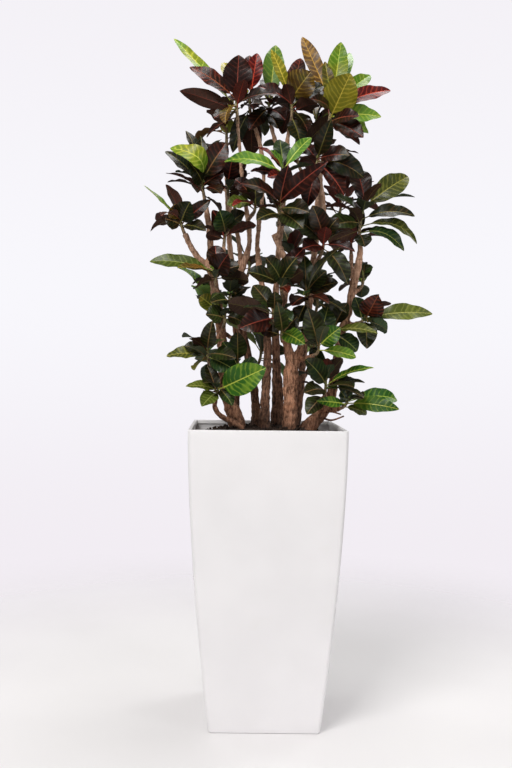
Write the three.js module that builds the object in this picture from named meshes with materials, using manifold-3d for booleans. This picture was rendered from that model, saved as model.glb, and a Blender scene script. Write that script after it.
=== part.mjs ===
import * as THREE from "three";
import Module from "manifold-3d";

// A croton (Codiaeum variegatum) in a tall square planter. Millimetres, +Z up.
// The origin is on the floor under the middle of the planter, and the front faces -Y.

const wasm = await Module();
wasm.setup();

// Planter
const PLANTER_HEIGHT = 780;
const RIM_WIDTH = 400;
const BASE_WIDTH = 288;
const SIDE_BOW = 1.62;
const CORNER_RADIUS = 11;
const WALL = 5;
const FLOOR_THICKNESS = 8;
const LIP_REACH = 4;
const LIP_DEPTH = 10;
const FOOT_BEVEL = 3;
const CORNER_STEPS = 2;
const WALL_LEVELS = [0, 0.2, 0.4, 0.58, 0.74, 0.88];

// Soil
const SOIL_LEVEL = 738;
const SOIL_MOUND = 38;
const FIT_GAP = 0.3;
const HOLE_GAP = 0.35;
const HOLE_TOP = 784;

// Wood: sides of a limb, radius from which it counts as a trunk, and length of a stretch
const TRUNK_SIDES = 7;
const LIMB_SIDES = 5;
const THICK_WOOD = 10;
const WOOD_STEP = 75;

// Leafy shoots
const SHOOT_SIDES = 5;
const SHOOT_STEPS = 2;
const SHOOT_BASE_RADIUS = 4.6;
const SHOOT_TIP_RADIUS = 3.2;
const SHOOT_BEND = 0.5;
const FIRST_LEAF = 17;
const LAST_LEAF_SHARE = 0.97;

// Leaves: the outline's powers at the root and the tip, and the cross-sections of a blade
const PETIOLE_SHARE = 0.15;
const PETIOLE_RADIUS = 1.5;
const ROOT_POWER = 0.75;
const TIP_POWER = 0.62;
const BLADE_CUTS = [0.2, 0.47, 0.76];
const SMALL_BLADE_CUTS = [0.27, 0.68];
const SMALL_BLADE = 96;
const BLADE_THICKNESS = 1.7;
const BLADE_FOLD = 0.24;
const BLADE_ARCH = 0.1;
const BLADE_TWIST = 0.7;
const WAVE_HEIGHT = 2.2;
const WAVE_TURNS = 15;
const WAVE_OFFSET = 1.9;
const WAVE_HALF_WIDTH = 20;
const WAVE_LIMIT = 1.3;

// Leaves set by rule, from the youngest (age 0) to the oldest (age 1) of a shoot
const GOLDEN_SHARE = 0.618034;
const YOUNG_RISE = 58;
const OLD_RISE = -4;
const RISE_SPREAD = 16;
const YOUNG_LENGTH = 92;
const OLD_LENGTH = 138;
const LENGTH_SPREAD = 0.2;
const WIDTH_SHARE = 0.4;
const WIDTH_SPREAD = 0.08;
const OLDEST_ROOT = 0.45;
const YOUNGEST_ROOT = 0.95;
const OLD_ARCH = 0.08;
const HIGH_TONES = 1580;
const LOW_TONES = 1200;

// Growth keeps the leafy stems clear of each other and of the wood.
const CELL = 8;
const SAMPLE = 5;
const ROOT_FREE = 14;
const OWN_FREE = 38;
const TRIES = 60;
const BEND_STEP = 3;
const BEND_LIMIT = 75;
const DEPTH_BEND = 3;
const SHOWN_BEND = 0.35;
const RULED_BEND = 2;
const TURN_BEND = 0.03;
const SHORTER = 0.18;
const NARROWER = 0.85;

// Positions are given as they are seen from the front: x and z on the upright plane
// through the middle of the planter, and a depth behind (+) or before (-) that plane.
const EYE = new THREE.Vector3(-97, -2339, 943);
const UP = new THREE.Vector3(0, 0, 1);
const TOWARD_EYE = new THREE.Vector3(0, -1, 0);

function seen(x, z, depth) {
  const onPlane = new THREE.Vector3(x, 0, z);
  return EYE.clone().lerp(onPlane, 1 + depth / -EYE.y);
}

// Woody limbs: stem, limb, then points of x, z, depth and radius. A limb that starts a
// stem stands in the soil, and any other starts inside the wood that it grows from.
const LIMBS = [
  ["stem_low", "low", [[-44, 675, -60, 9], [-50, 735, -62, 9], [-66, 774, -66, 8.5],
    [-98, 791, -72, 8], [-126, 808, -76, 7.5], [-137, 830, -78, 7], [-134, 846, -78, 6.5]]],

  ["stem_left", "left", [[-64, 675, 0, 23], [-66, 735, -2, 23], [-83, 805, -5, 21],
    [-101, 850, -8, 18], [-114, 915, -10, 15], [-118, 981, -12, 14.5], [-126, 1062, -14, 14],
    [-140, 1150, -16, 13], [-151, 1205, -18, 13], [-153, 1240, -18, 9.5],
    [-154, 1290, -18, 8.5], [-162, 1345, -20, 7.5], [-169, 1382, -20, 6.5]]],
  ["stem_left", "left_fork", [[-151, 1199, -18, 9], [-184, 1228, -22, 9], [-206, 1260, -26, 8],
    [-222, 1292, -28, 7]]],
  ["stem_left", "left_a", [[-112, 880, -9, 9], [-128, 895, -34, 7.5], [-146, 915, -44, 6.5],
    [-152, 938, -46, 5.5]]],
  ["stem_left", "left_b", [[-121, 1018, -13, 8], [-118, 1032, -42, 6.5], [-114, 1048, -60, 5.5]]],
  ["stem_left", "left_c", [[-136, 1118, -15, 8], [-134, 1134, -44, 7], [-137, 1152, -58, 6]]],
  ["stem_left", "left_d", [[-146, 1172, -17, 8], [-128, 1205, -34, 6.5], [-119, 1235, -40, 6],
    [-117, 1258, -42, 5.5]]],

  ["stem_tall", "tall", [[-27, 675, 36, 17], [-27, 735, 36, 18], [-24, 790, 33, 16],
    [-26, 835, 31, 13], [-35, 900, 27, 12.5], [-50, 975, 24, 12], [-64, 1030, 20, 11],
    [-75, 1080, 16, 10.5], [-74, 1150, 10, 9.5], [-67, 1200, 4, 9], [-52, 1245, -8, 8],
    [-48, 1290, -14, 7], [-56, 1350, -20, 6.5],
    [-68, 1430, -28, 5.6], [-75, 1500, -32, 5], [-83, 1594, -40, 4.8]]],
  ["stem_tall", "tall_fork", [[-70, 1180, 6, 8], [-72, 1230, 14, 7], [-80, 1290, 22, 6.5],
    [-96, 1345, 26, 6], [-104, 1385, 28, 5.5]]],
  ["stem_tall", "tall_a", [[-76, 1060, 17, 7], [-88, 1078, -18, 6.5], [-97, 1098, -48, 5.5]]],
  ["stem_tall", "tall_b", [[-46, 880, 28, 8], [-60, 898, 6, 6.5], [-70, 916, -8, 5.5]]],
  ["stem_tall", "tall_c", [[-54, 1332, -19, 6], [-45, 1340, -46, 5.5], [-38, 1350, -62, 5.2]]],

  ["stem_middle", "middle", [[-2, 675, -25, 20], [-3, 735, -26, 20], [-2, 792, -28, 17],
    [0, 857, -30, 14], [2, 908, -31, 12.5], [4, 986, -32, 10.5], [0, 1051, -30, 10],
    [-8, 1130, -20, 9], [-20, 1200, -8, 8], [-26, 1250, 2, 7], [-24, 1310, 12, 7],
    [-16, 1380, 22, 6.5], [-12, 1450, 32, 6], [-22, 1530, 44, 6], [-46, 1605, 52, 5.5]]],
  ["stem_middle", "middle_a", [[0, 1030, -30, 8], [8, 1042, -62, 6.5], [17, 1054, -82, 5.5]]],

  ["stem_dark", "dark", [[30, 675, 60, 21], [31, 735, 60, 21], [33, 800, 59, 19],
    [33, 865, 58, 16], [27, 960, 56, 11.5], [24, 1090, 54, 10.5], [28, 1200, 50, 9.5], [36, 1320, 44, 8.5],
    [44, 1420, 34, 7.5], [51, 1500, 26, 6.5], [52, 1550, 20, 6], [60, 1598, 14, 5.5]]],
  ["stem_dark", "dark_fork", [[47, 1455, 31, 6.5], [30, 1500, 34, 6], [14, 1555, 40, 5.5],
    [4, 1596, 46, 5.2]]],
  ["stem_dark", "dark_a", [[42, 1385, 37, 7], [45, 1402, -4, 6.5], [46, 1414, -48, 6],
    [44, 1432, -80, 5.2]]],

  ["stem_front", "front", [[65, 675, -40, 20], [65, 735, -42, 20], [66, 800, -46, 18.5],
    [67, 850, -50, 19], [67, 905, -52, 20.5], [67, 948, -54, 16], [56, 1000, -58, 12],
    [47, 1045, -62, 11], [46, 1100, -66, 10.5], [50, 1160, -68, 10], [54, 1213, -70, 9.5],
    [36, 1253, -72, 9], [18, 1294, -74, 8.5]]],
  ["stem_front", "front_right", [[70, 922, -54, 13], [88, 970, -50, 12], [100, 1010, -46, 11],
    [112, 1080, -40, 10.5], [117, 1150, -38, 10], [124, 1220, -36, 9.5], [136, 1300, -36, 9],
    [148, 1350, -38, 9], [145, 1400, -36, 8.5], [139, 1445, -32, 7.5], [146, 1495, -24, 6.5],
    [156, 1535, -16, 6], [160, 1575, -10, 5.5]]],
  ["stem_front", "front_a", [[24, 1278, -73, 6], [31, 1302, -90, 5.5], [31, 1326, -100, 5]]],
  ["stem_front", "front_b", [[48, 1112, -67, 8], [45, 1122, -92, 6.5], [41, 1134, -108, 5.5]]],
  ["stem_front", "front_c", [[51, 1012, -60, 7], [45, 1006, -86, 6], [42, 1014, -102, 5.2]]],
  ["stem_front", "front_d", [[138, 1448, -32, 7], [132, 1456, -56, 6], [130, 1468, -70, 5.2]]],
  ["stem_front", "front_e", [[122, 1195, -37, 8], [132, 1218, -62, 6.5], [143, 1238, -76, 5.5]]],
  ["stem_front", "front_f", [[113, 1078, -40, 8], [110, 1090, -66, 6.5], [108, 1104, -80, 5.5]]],
  ["stem_front", "front_g", [[86, 958, -51, 8], [110, 962, -74, 6.5], [130, 970, -88, 5.5]]],

  ["stem_right", "right", [[88, 675, 10, 23], [92, 735, 8, 23], [118, 775, 0, 21],
    [150, 812, -8, 19], [174, 850, -12, 15], [186, 925, -14, 13], [197, 1000, -16, 12],
    [208, 1051, -16, 11.5], [221, 1090, -16, 11], [232, 1156, -14, 10.5], [246, 1218, -12, 9.5],
    [250, 1250, -10, 8], [248, 1276, -8, 6.5]]],
  ["stem_right", "right_a", [[150, 812, -8, 10], [152, 836, -36, 8], [158, 858, -54, 6]]],
  ["stem_right", "right_b", [[166, 834, -10, 9], [188, 824, -30, 7.5], [204, 828, -42, 6]]],
  ["stem_right", "right_c", [[213, 1062, -16, 8], [231, 1054, -24, 7], [247, 1058, -28, 6]]],
  ["stem_right", "right_d", [[228, 1130, -14, 7], [239, 1140, 6, 6.5], [250, 1150, 14, 5.5]]],
  ["stem_right", "right_e", [[198, 1000, -16, 7], [189, 1008, -42, 6.5], [184, 1020, -56, 5.5]]],
  ["stem_right", "right_f", [[233, 1160, -14, 7], [228, 1200, 22, 6.5], [226, 1246, 46, 5.5]]],
  ["stem_right", "twig_a", [[148, 804, -10, 3.6], [178, 795, -50, 2.6], [212, 806, -66, 2]]],
  ["stem_right", "twig_b", [[156, 814, -10, 3.6], [178, 818, -46, 2.6], [204, 811, -60, 2]]],

  ["stem_back_left", "back_left", [[-74, 675, 110, 11], [-75, 735, 110, 11],
    [-78, 850, 112, 10], [-80, 1000, 114, 9.5], [-90, 1150, 118, 9], [-104, 1300, 120, 8],
    [-110, 1430, 118, 7], [-112, 1525, 110, 6]]],
  ["stem_back_right", "back_right", [[80, 675, 120, 12], [82, 735, 120, 12],
    [92, 860, 122, 11], [104, 1010, 124, 10], [118, 1160, 126, 9], [130, 1310, 124, 8],
    [134, 1440, 116, 7], [128, 1550, 104, 6]]],
];

// Side limbs of the two stems at the back: the limb, and how high each one starts.
const BACK_LIMBS = [
  ["stem_back_left", "back_left", [880, 1010, 1140, 1320, 1430], 0.15],
  ["stem_back_right", "back_right", [900, 1030, 1160, 1300, 1430], 0.4],
];
const BACK_REACH = 58;
const BACK_RISE = 50;
const BACK_ROOT_SHARE = 0.8;
const BACK_MIDDLE = { reach: 0.5, rise: 0.3, radius: 6 };
const BACK_END_RADIUS = 5.2;
const BACK_SPREAD = THREE.MathUtils.degToRad(330);
const BACK_LEAVES = 8;
const BACK_SHOOT_LENGTH = 62;
const BACK_SHOOT_LEAN = 14;

// Leafy shoots: name, the limb whose end carries it, its growing tip, how many further
// leaves a rule adds behind, and the leaves that show, oldest first. A leaf has the x and z
// of its tip, its depth from the growing tip, its width, how far its upper face turns to
// the front (1) or away (-1), its tone, and its arch where that is not the usual one.
// Tones: G green, Y yellow-green, B bronze, D dark maroon, R red, K dark green, O olive.
const SHOOTS = [
  ["shoot_01", "tall", [-88, 1662, -40], 1, [
    [-146, 1602, -66, 40, 0.35, "D"], [-240, 1674, -20, 46, -0.7, "D", 0.2],
    [-257, 1814, 20, 36, 0.4, "Y", 0.02], [-116, 1578, -92, 38, -0.5, "B"],
    [22, 1668, -30, 54, 0.5, "D"], [-82, 1771, -30, 78, 0.97, "D", 0.04],
    [-214, 1737, -6, 48, 0.7, "R"], [-122, 1750, 48, 40, 0.5, "Y"]]],
  ["shoot_02", "middle", [-46, 1676, 52], 3, [
    [-92, 1568, -10, 56, 0.4, "D"], [-6, 1572, 16, 52, 0.4, "K"], [-115, 1650, 0, 50, 0.5, "D"],
    [-53, 1770, 20, 46, 0.85, "R"], [-33, 1776, -26, 46, 0.9, "R"]]],
  ["shoot_03", "dark_fork", [2, 1652, 46], 2, [
    [-42, 1642, -80, 56, 0.6, "D"], [42, 1602, -92, 50, 0.6, "D"], [-48, 1575, -60, 50, 0.5, "D"],
    [10, 1735, 40, 56, 0.7, "D"], [14, 1814, -16, 70, 0.93, "G", 0.05]]],
  ["shoot_04", "dark", [57, 1660, 0], 1, [
    [130, 1640, -56, 52, -0.45, "D"], [98, 1574, -80, 54, 0.5, "D"], [34, 1566, 30, 56, 0.4, "D"],
    [148, 1692, -20, 60, 0.6, "D"], [-25, 1690, -30, 54, 0.6, "D"],
    [86, 1757, 46, 50, 0.6, "R"], [112, 1728, -40, 84, 0.85, "B"], [4, 1786, -30, 32, 0.7, "Y", 0.05]]],
  ["shoot_05", "front_right", [171, 1656, -4], 1, [
    [253, 1550, -44, 58, 0.75, "D"], [218, 1725, -60, 90, 0.97, "Y", 0.03],
    [302, 1610, -10, 54, 0.75, "G"], [268, 1566, 16, 48, 0.6, "Y"],
    [95, 1640, -40, 44, 0.5, "D"], [317, 1668, 30, 48, 0.75, "R"], [274, 1724, 40, 44, 0.8, "Y"],
    [86, 1831, 48, 44, 0.93, "B", 0.02], [191, 1808, 30, 56, 0.85, "Y", 0.04],
    [216, 1784, 84, 50, 0.6, "G"]]],
  ["shoot_06", "left", [-181, 1444, -20], 2, [
    [-275, 1454, -46, 40, 0.12, "D"], [-268, 1440, -14, 36, 0.1, "D"],
    [-125, 1400, -90, 46, 0.5, "D"], [-277, 1512, -10, 48, 0.5, "D"],
    [-118, 1478, -70, 56, 0.7, "D"], [-213, 1484, -84, 60, 0.8, "D"],
    [-113, 1537, -30, 64, 0.9, "D"], [-222, 1568, 30, 42, 0.15, "D"],
    [-264, 1520, -50, 56, 0.7, "Y", 0.55]]],
  ["shoot_07", "tall_fork", [-106, 1438, 28], 2, [
    [-60, 1440, -90, 46, -0.5, "D"], [-158, 1436, -86, 42, -0.6, "D"],
    [-60, 1500, -20, 50, 0.6, "D"], [-95, 1500, -30, 54, 0.7, "D"]]],
  ["shoot_08", "dark_a", [40, 1474, -88], 1, [
    [88, 1420, -40, 44, 0.5, "D"], [-2, 1446, -54, 30, 0.8, "R"],
    [-118, 1486, -6, 50, 0.55, "G", 0.16], [5, 1518, -40, 32, 0.5, "G"],
    [115, 1553, 0, 36, 0.6, "G"], [30, 1545, 30, 44, 0.6, "K"]]],
  ["shoot_09", "front_a", [32, 1384, -108], 1, [
    [-30, 1330, -62, 50, 0.6, "D"], [96, 1310, -62, 60, 0.75, "K"],
    [108, 1352, -50, 58, 0.7, "D"], [52, 1474, 10, 60, 0.85, "D"],
    [-75, 1427, -36, 54, 0.5, "D", 0.16], [150, 1472, -44, 56, 0.7, "D", 0.14]]],
  ["shoot_10", "tall_c", [-33, 1382, -68], 1, [
    [-98, 1352, -50, 34, 0.15, "R"], [-110, 1372, -34, 46, 0.6, "O"],
    [-88, 1440, -10, 50, 0.6, "D"]]],
  ["shoot_11", "left_fork", [-234, 1330, -34], 2, [
    [-316, 1302, -20, 38, -0.3, "D", 0.28], [-165, 1300, -60, 44, 0.6, "D"],
    [-272, 1346, -58, 52, 0.6, "D"], [-165, 1368, 8, 44, 0.6, "D"],
    [-208, 1379, -54, 62, 0.88, "D"], [-333, 1421, 12, 26, 0.2, "G", 0.02],
    [-250, 1372, -20, 56, 0.8, "B"]]],
  ["shoot_12", "left_d", [-113, 1306, -48], 1, [
    [-187, 1284, -30, 36, -0.5, "D"], [-30, 1318, -30, 46, -0.3, "D"],
    [-195, 1330, -30, 52, 0.7, "D"], [-130, 1356, -60, 60, 0.75, "K"],
    [-60, 1350, -40, 52, 0.6, "D"]]],
  ["shoot_13", "front_d", [132, 1500, -76], 1, [
    [205, 1400, -50, 56, 0.5, "D"], [70, 1405, -40, 52, -0.5, "D"],
    [256, 1448, -24, 66, 0.75, "D", 0.22], [92, 1545, -10, 42, 0.5, "D"],
    [215, 1500, -40, 56, 0.7, "D"], [148, 1575, 0, 52, 0.6, "D"],
    [243, 1512, 30, 36, 0.12, "D"]]],
  ["shoot_14", "right", [264, 1386, -10], 2, [
    [368, 1252, -30, 46, 0.5, "K", 0.24], [165, 1272, -50, 62, -0.8, "D"],
    [402, 1271, 4, 46, 0.5, "O", 0.24], [160, 1312, -56, 60, 0.6, "K"],
    [396, 1346, -20, 52, 0.55, "D", 0.16], [178, 1398, -30, 46, 0.4, "K"],
    [262, 1385, -92, 46, 0.7, "K"], [397, 1397, 24, 40, 0.12, "K"],
    [376, 1452, 0, 64, 0.8, "O"], [236, 1470, 34, 60, 0.6, "D"]]],
  ["shoot_15", "front_e", [150, 1288, -84], 1, [
    [218, 1162, -50, 52, 0.6, "K", 0.18], [95, 1255, -56, 56, 0.6, "D"],
    [236, 1248, -40, 50, 0.4, "D"], [66, 1340, -36, 58, 0.7, "K"],
    [120, 1372, -40, 56, 0.7, "D"], [190, 1340, -20, 50, 0.6, "D"]]],
  ["shoot_16", "left_c", [-134, 1196, -66], 1, [
    [-192, 1146, -66, 46, -0.5, "D"], [-50, 1172, -46, 50, -0.6, "D"],
    [-200, 1157, -20, 32, 0.15, "D"], [-240, 1196, -46, 40, 0.4, "B"],
    [-72, 1208, -50, 52, 0.7, "D"], [-104, 1240, -66, 66, 0.85, "D"],
    [-316, 1217, -10, 46, 0.6, "O"], [-140, 1262, 10, 50, 0.6, "D"]]],
  ["shoot_17", "front_b", [38, 1178, -116], 1, [
    [58, 1136, -66, 30, 0.5, "R"], [96, 1196, -40, 48, -0.7, "D"],
    [-52, 1192, -20, 52, 0.6, "D"], [-4, 1230, -54, 52, 0.65, "K"],
    [80, 1232, -40, 54, 0.65, "D"], [100, 1262, 10, 44, 0.5, "D"]]],
  ["shoot_18", "middle_a", [20, 1094, -92], 1, [
    [-72, 1040, -40, 68, 0.75, "D"], [70, 1062, -56, 50, 0.6, "K"],
    [-106, 1108, -24, 52, -0.8, "D"], [-34, 1172, -30, 60, 0.8, "K"],
    [30, 1162, -50, 48, 0.7, "K"]]],
  ["shoot_19", "tall_a", [-98, 1140, -56], 1, [
    [-150, 1108, -50, 46, 0.6, "K"], [-40, 1120, -50, 44, 0.6, "D"],
    [-96, 1172, -86, 42, 0.5, "K"], [-60, 1200, 0, 50, 0.6, "D"]]],
  ["shoot_20", "left_b", [-112, 1086, -66], 1, [
    [-162, 1078, -66, 62, 0.75, "K"], [-62, 1056, -56, 48, 0.6, "K"],
    [-175, 1128, -30, 48, 0.6, "B"]]],
  ["shoot_21", "front_f", [105, 1146, -86], 1, [
    [162, 1104, -66, 34, 0.6, "R"], [60, 1098, -60, 48, 0.6, "D"],
    [216, 1084, -30, 44, 0.35, "D"], [192, 1166, -30, 54, 0.6, "D"],
    [166, 1200, -40, 52, 0.7, "K"], [64, 1212, -10, 50, 0.6, "D"]]],
  ["shoot_22", "right_c", [270, 1076, -32], 1, [
    [326, 1038, -50, 46, -0.6, "K"], [262, 986, -20, 56, 0.6, "K"],
    [448, 1084, 0, 50, 0.65, "O"], [300, 1134, -62, 66, 0.92, "R"],
    [336, 1110, 34, 34, -0.4, "D"]]],
  ["shoot_23", "right_d", [258, 1190, 20], 1, [
    [262, 1124, -50, 52, 0.7, "K"], [205, 1150, -60, 44, 0.5, "D"],
    [240, 1210, -50, 44, 0.5, "D"], [274, 1216, 10, 44, 0.3, "K"]]],
  ["shoot_24", "front_g", [138, 1012, -96], 1, [
    [243, 965, -10, 36, 0.6, "G"], [110, 1098, -46, 60, 0.85, "K"],
    [200, 1046, -40, 56, 0.75, "G"], [168, 1100, 0, 60, 0.7, "K"], [84, 1040, -60, 44, 0.6, "K"]]],
  ["shoot_25", "front_c", [43, 1042, -112], 0, [
    [104, 1000, -40, 44, 0.8, "G"], [20, 1100, -50, 44, 0.6, "K"], [-20, 1030, -30, 44, 0.6, "D"]]],
  ["shoot_26", "right_e", [186, 1052, -64], 1, [
    [292, 1026, -30, 38, 0.4, "O"], [142, 1006, -30, 44, 0.5, "D"],
    [228, 1110, -50, 46, 0.5, "K"]]],
  ["shoot_27", "right_a", [162, 906, -64], 1, [
    [104, 868, -70, 48, 0.6, "K"], [236, 889, -50, 34, 0.4, "K"],
    [268, 897, -10, 38, 0.3, "D"], [298, 932, -14, 38, 0.5, "G"],
    [106, 958, -50, 58, 0.7, "K"], [168, 968, -56, 44, -0.7, "R"],
    [204, 964, 10, 46, -0.6, "D"], [124, 985, 0, 46, 0.6, "K"]]],
  ["shoot_28", "right_b", [222, 850, -50], 1, [
    [116, 852, -50, 34, 0.6, "G"], [362, 826, -60, 44, 0.7, "G"],
    [262, 852, -90, 54, 0.5, "K"], [356, 850, 40, 46, 0.65, "G", 0.2],
    [210, 930, -30, 46, 0.5, "K"]]],
  ["shoot_29", "left_a", [-157, 982, -52], 1, [
    [-192, 926, -56, 42, -0.4, "B"], [-82, 926, -50, 58, 0.7, "K"],
    [-269, 963, -10, 44, 0.5, "O"], [-84, 962, -40, 46, 0.65, "K"],
    [-222, 994, 20, 42, 0.5, "K"], [-206, 1014, -66, 42, -0.3, "D"],
    [-141, 1066, 0, 50, 0.75, "K"]]],
  ["shoot_30", "low", [-127, 882, -84], 1, [
    [-172, 828, -60, 46, 0.6, "O"], [-217, 882, -30, 34, 0.5, "O"],
    [4, 938, -10, 80, 0.92, "G"], [-92, 830, -66, 40, 0.5, "K"]]],
  ["shoot_31", "tall_b", [-76, 954, -14], 1, [
    [-20, 930, -30, 62, 0.75, "K"], [-120, 1000, 20, 46, 0.6, "K"], [-78, 1030, -30, 50, 0.6, "K"]]],
  ["shoot_32", "right_f", [224, 1296, 56], 3, [
    [190, 1220, -50, 46, 0.5, "D"], [250, 1370, -20, 50, 0.6, "D"]]],
];

// Where the background shows beside the crown and between stems, as seen from the front:
// lowest and highest x, then lowest and highest z. Leaves set by rule stay out of these.
const GAPS = [
  [-420, -160, 1575, 1645], [-420, -270, 1530, 1860], [-420, -345, 1200, 1860],
  [-420, -225, 1230, 1290], [-420, -205, 1095, 1190], [-420, -165, 1030, 1095],
  [-420, -230, 985, 1060], [-420, -215, 840, 940], [-420, -150, 700, 815],
  [-420, 520, 1830, 2000], [260, 520, 1460, 1600], [275, 520, 1140, 1240],
  [345, 520, 1120, 1250], [340, 520, 870, 1060], [305, 520, 900, 1020], [200, 520, 700, 810],
  [-210, -170, 1250, 1300], [-150, -125, 1235, 1285], [-115, -80, 1215, 1285],
  [-70, -30, 1235, 1295], [-10, 20, 1240, 1325], [-45, -15, 945, 1015],
  [-100, -85, 970, 1060], [145, 185, 980, 1010], [160, 205, 1120, 1165],
  [25, 35, 1515, 1550], [55, 80, 1530, 1545], [90, 115, 1555, 1590],
];
const GAP_PROBES = [[0.35, 0], [0.6, -1], [0.6, 1], [0.8, 0], [1, 0]];

const LEAF_COLOURS = {
  G: 0x4f8f1e,
  Y: 0x94951f,
  B: 0x8a5a1c,
  D: 0x2a1213,
  R: 0x7d1d1a,
  K: 0x16301a,
  O: 0x4d5522,
};

// Park-Miller draws between 0 and 1, the same for a given seed.
function draws(seed) {
  let state = (seed * 7919 + 13) % 2147483647;
  return () => {
    state = (state * 16807) % 2147483647;
    return state / 2147483647;
  };
}

// Closed body through rings of equally many points, each running anticlockwise about the
// way of travel. Flat caps close it, or a point does where a tip is given.
function loft(rings, { tip = null, leafLike = false } = {}) {
  const count = rings[0].length;
  const points = rings.flat();
  const faces = [];
  for (let i = 0; i + 1 < rings.length; i++) {
    for (let k = 0; k < count; k++) {
      const a = i * count + k;
      const b = i * count + ((k + 1) % count);
      const c = b + count;
      const d = a + count;
      if (leafLike && k % 2 === 1) faces.push([a, b, d], [b, c, d]);
      else faces.push([a, b, c], [a, c, d]);
    }
  }
  const last = (rings.length - 1) * count;
  for (let k = 1; k + 1 < count; k++) faces.push([0, k + 1, k]);
  if (tip) {
    points.push(tip);
    for (let k = 0; k < count; k++) faces.push([last + k, last + ((k + 1) % count), points.length - 1]);
  } else {
    for (let k = 1; k + 1 < count; k++) faces.push([last, last + k, last + k + 1]);
  }
  return new wasm.Manifold(new wasm.Mesh({
    numProp: 3,
    vertProperties: new Float32Array(points.flatMap((p) => [p.x, p.y, p.z])),
    triVerts: new Uint32Array(faces.flat()),
  }));
}

function toGeometry(solid) {
  const mesh = solid.getMesh();
  const geometry = new THREE.BufferGeometry();
  geometry.setAttribute("position", new THREE.BufferAttribute(mesh.vertProperties, 3));
  geometry.setIndex(new THREE.BufferAttribute(mesh.triVerts, 1));
  geometry.computeVertexNormals();
  return geometry;
}

function joined(solids) {
  return solids.reduce((whole, solid) => whole.add(solid));
}

// Planter: a square with round corners at each height, its sides bowed towards the rim.
function planterHalf(z) {
  const flare = 1 - z / PLANTER_HEIGHT;
  return RIM_WIDTH / 2 - ((RIM_WIDTH - BASE_WIDTH) / 2) * flare ** SIDE_BOW;
}

function roundedSquare(half, radius, z) {
  const ring = [];
  for (let corner = 0; corner < 4; corner++) {
    const turn = (corner * Math.PI) / 2;
    for (let k = 0; k <= CORNER_STEPS; k++) {
      const angle = turn + ((k / CORNER_STEPS) * Math.PI) / 2;
      const x = (half - radius) * Math.sign(Math.cos(turn + Math.PI / 4));
      const y = (half - radius) * Math.sign(Math.sin(turn + Math.PI / 4));
      ring.push(new THREE.Vector3(
        x + radius * Math.cos(angle),
        y + radius * Math.sin(angle),
        z,
      ));
    }
  }
  return ring;
}

function wallRing(z, inset) {
  return roundedSquare(planterHalf(z) - inset, Math.max(CORNER_RADIUS - inset, 4), z);
}

function planter() {
  const lipFoot = PLANTER_HEIGHT - LIP_DEPTH;
  const level = (share, low) => low + (PLANTER_HEIGHT - low) * share;
  const outer = WALL_LEVELS.map((share) => wallRing(level(share, FOOT_BEVEL), 0));
  const inner = WALL_LEVELS.map((share) => wallRing(level(share, FLOOR_THICKNESS), WALL)).reverse();
  return loft([
    wallRing(0, FOOT_BEVEL),
    ...outer,
    wallRing(PLANTER_HEIGHT, 0),
    wallRing(PLANTER_HEIGHT, WALL + LIP_REACH),
    wallRing(lipFoot, WALL + LIP_REACH),
    wallRing(lipFoot - 1, WALL),
    ...inner,
  ]);
}

// Smooth curve through points of x, y, z and radius (uniform Catmull-Rom).
function curvePoint(path, span, t) {
  const at = (i) => {
    if (i < 0) return path[0].map((value, k) => 2 * value - path[1][k]);
    if (i >= path.length) {
      const end = path.length - 1;
      return path[end].map((value, k) => 2 * value - path[end - 1][k]);
    }
    return path[i];
  };
  const [p, q, r, s] = [at(span - 1), at(span), at(span + 1), at(span + 2)];
  const value = q.map((_, k) => 0.5 * (2 * q[k] + (r[k] - p[k]) * t
    + (2 * p[k] - 5 * q[k] + 4 * r[k] - s[k]) * t * t
    + (3 * q[k] - p[k] - 3 * r[k] + s[k]) * t * t * t));
  const slope = q.map((_, k) => 0.5 * ((r[k] - p[k])
    + 2 * (2 * p[k] - 5 * q[k] + 4 * r[k] - s[k]) * t
    + 3 * (3 * q[k] - p[k] - 3 * r[k] + s[k]) * t * t));
  return {
    place: new THREE.Vector3(value[0], value[1], value[2]),
    way: new THREE.Vector3(slope[0], slope[1], slope[2]).normalize(),
    radius: value[3],
  };
}

function followCurve(path, step) {
  const stations = [];
  for (let span = 0; span + 1 < path.length; span++) {
    const [from, to] = [path[span], path[span + 1]];
    const length = Math.hypot(to[0] - from[0], to[1] - from[1], to[2] - from[2]);
    const parts = Math.max(1, Math.round(length / step));
    for (let k = 0; k < parts; k++) stations.push(curvePoint(path, span, k / parts));
  }
  stations.push(curvePoint(path, path.length - 2, 1));
  return stations;
}

// Rings across a curve, each turned as little as possible from the one before.
function ringsAlong(stations, sides, grow = 0) {
  const start = stations[0].way;
  let across = Math.abs(start.x) < 0.8 ? new THREE.Vector3(1, 0, 0) : new THREE.Vector3(0, 1, 0);
  return stations.map(({ place, way, radius }) => {
    across = across.clone().addScaledVector(way, -across.dot(way)).normalize();
    const other = way.clone().cross(across);
    const ring = [];
    for (let k = 0; k < sides; k++) {
      const angle = (2 * Math.PI * k) / sides;
      ring.push(place.clone()
        .addScaledVector(across, (radius + grow) * Math.cos(angle))
        .addScaledVector(other, (radius + grow) * Math.sin(angle)));
    }
    return ring;
  });
}

function limbPath(points) {
  return points.map(([x, z, depth, radius]) => [...seen(x, z, depth).toArray(), radius]);
}

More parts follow.
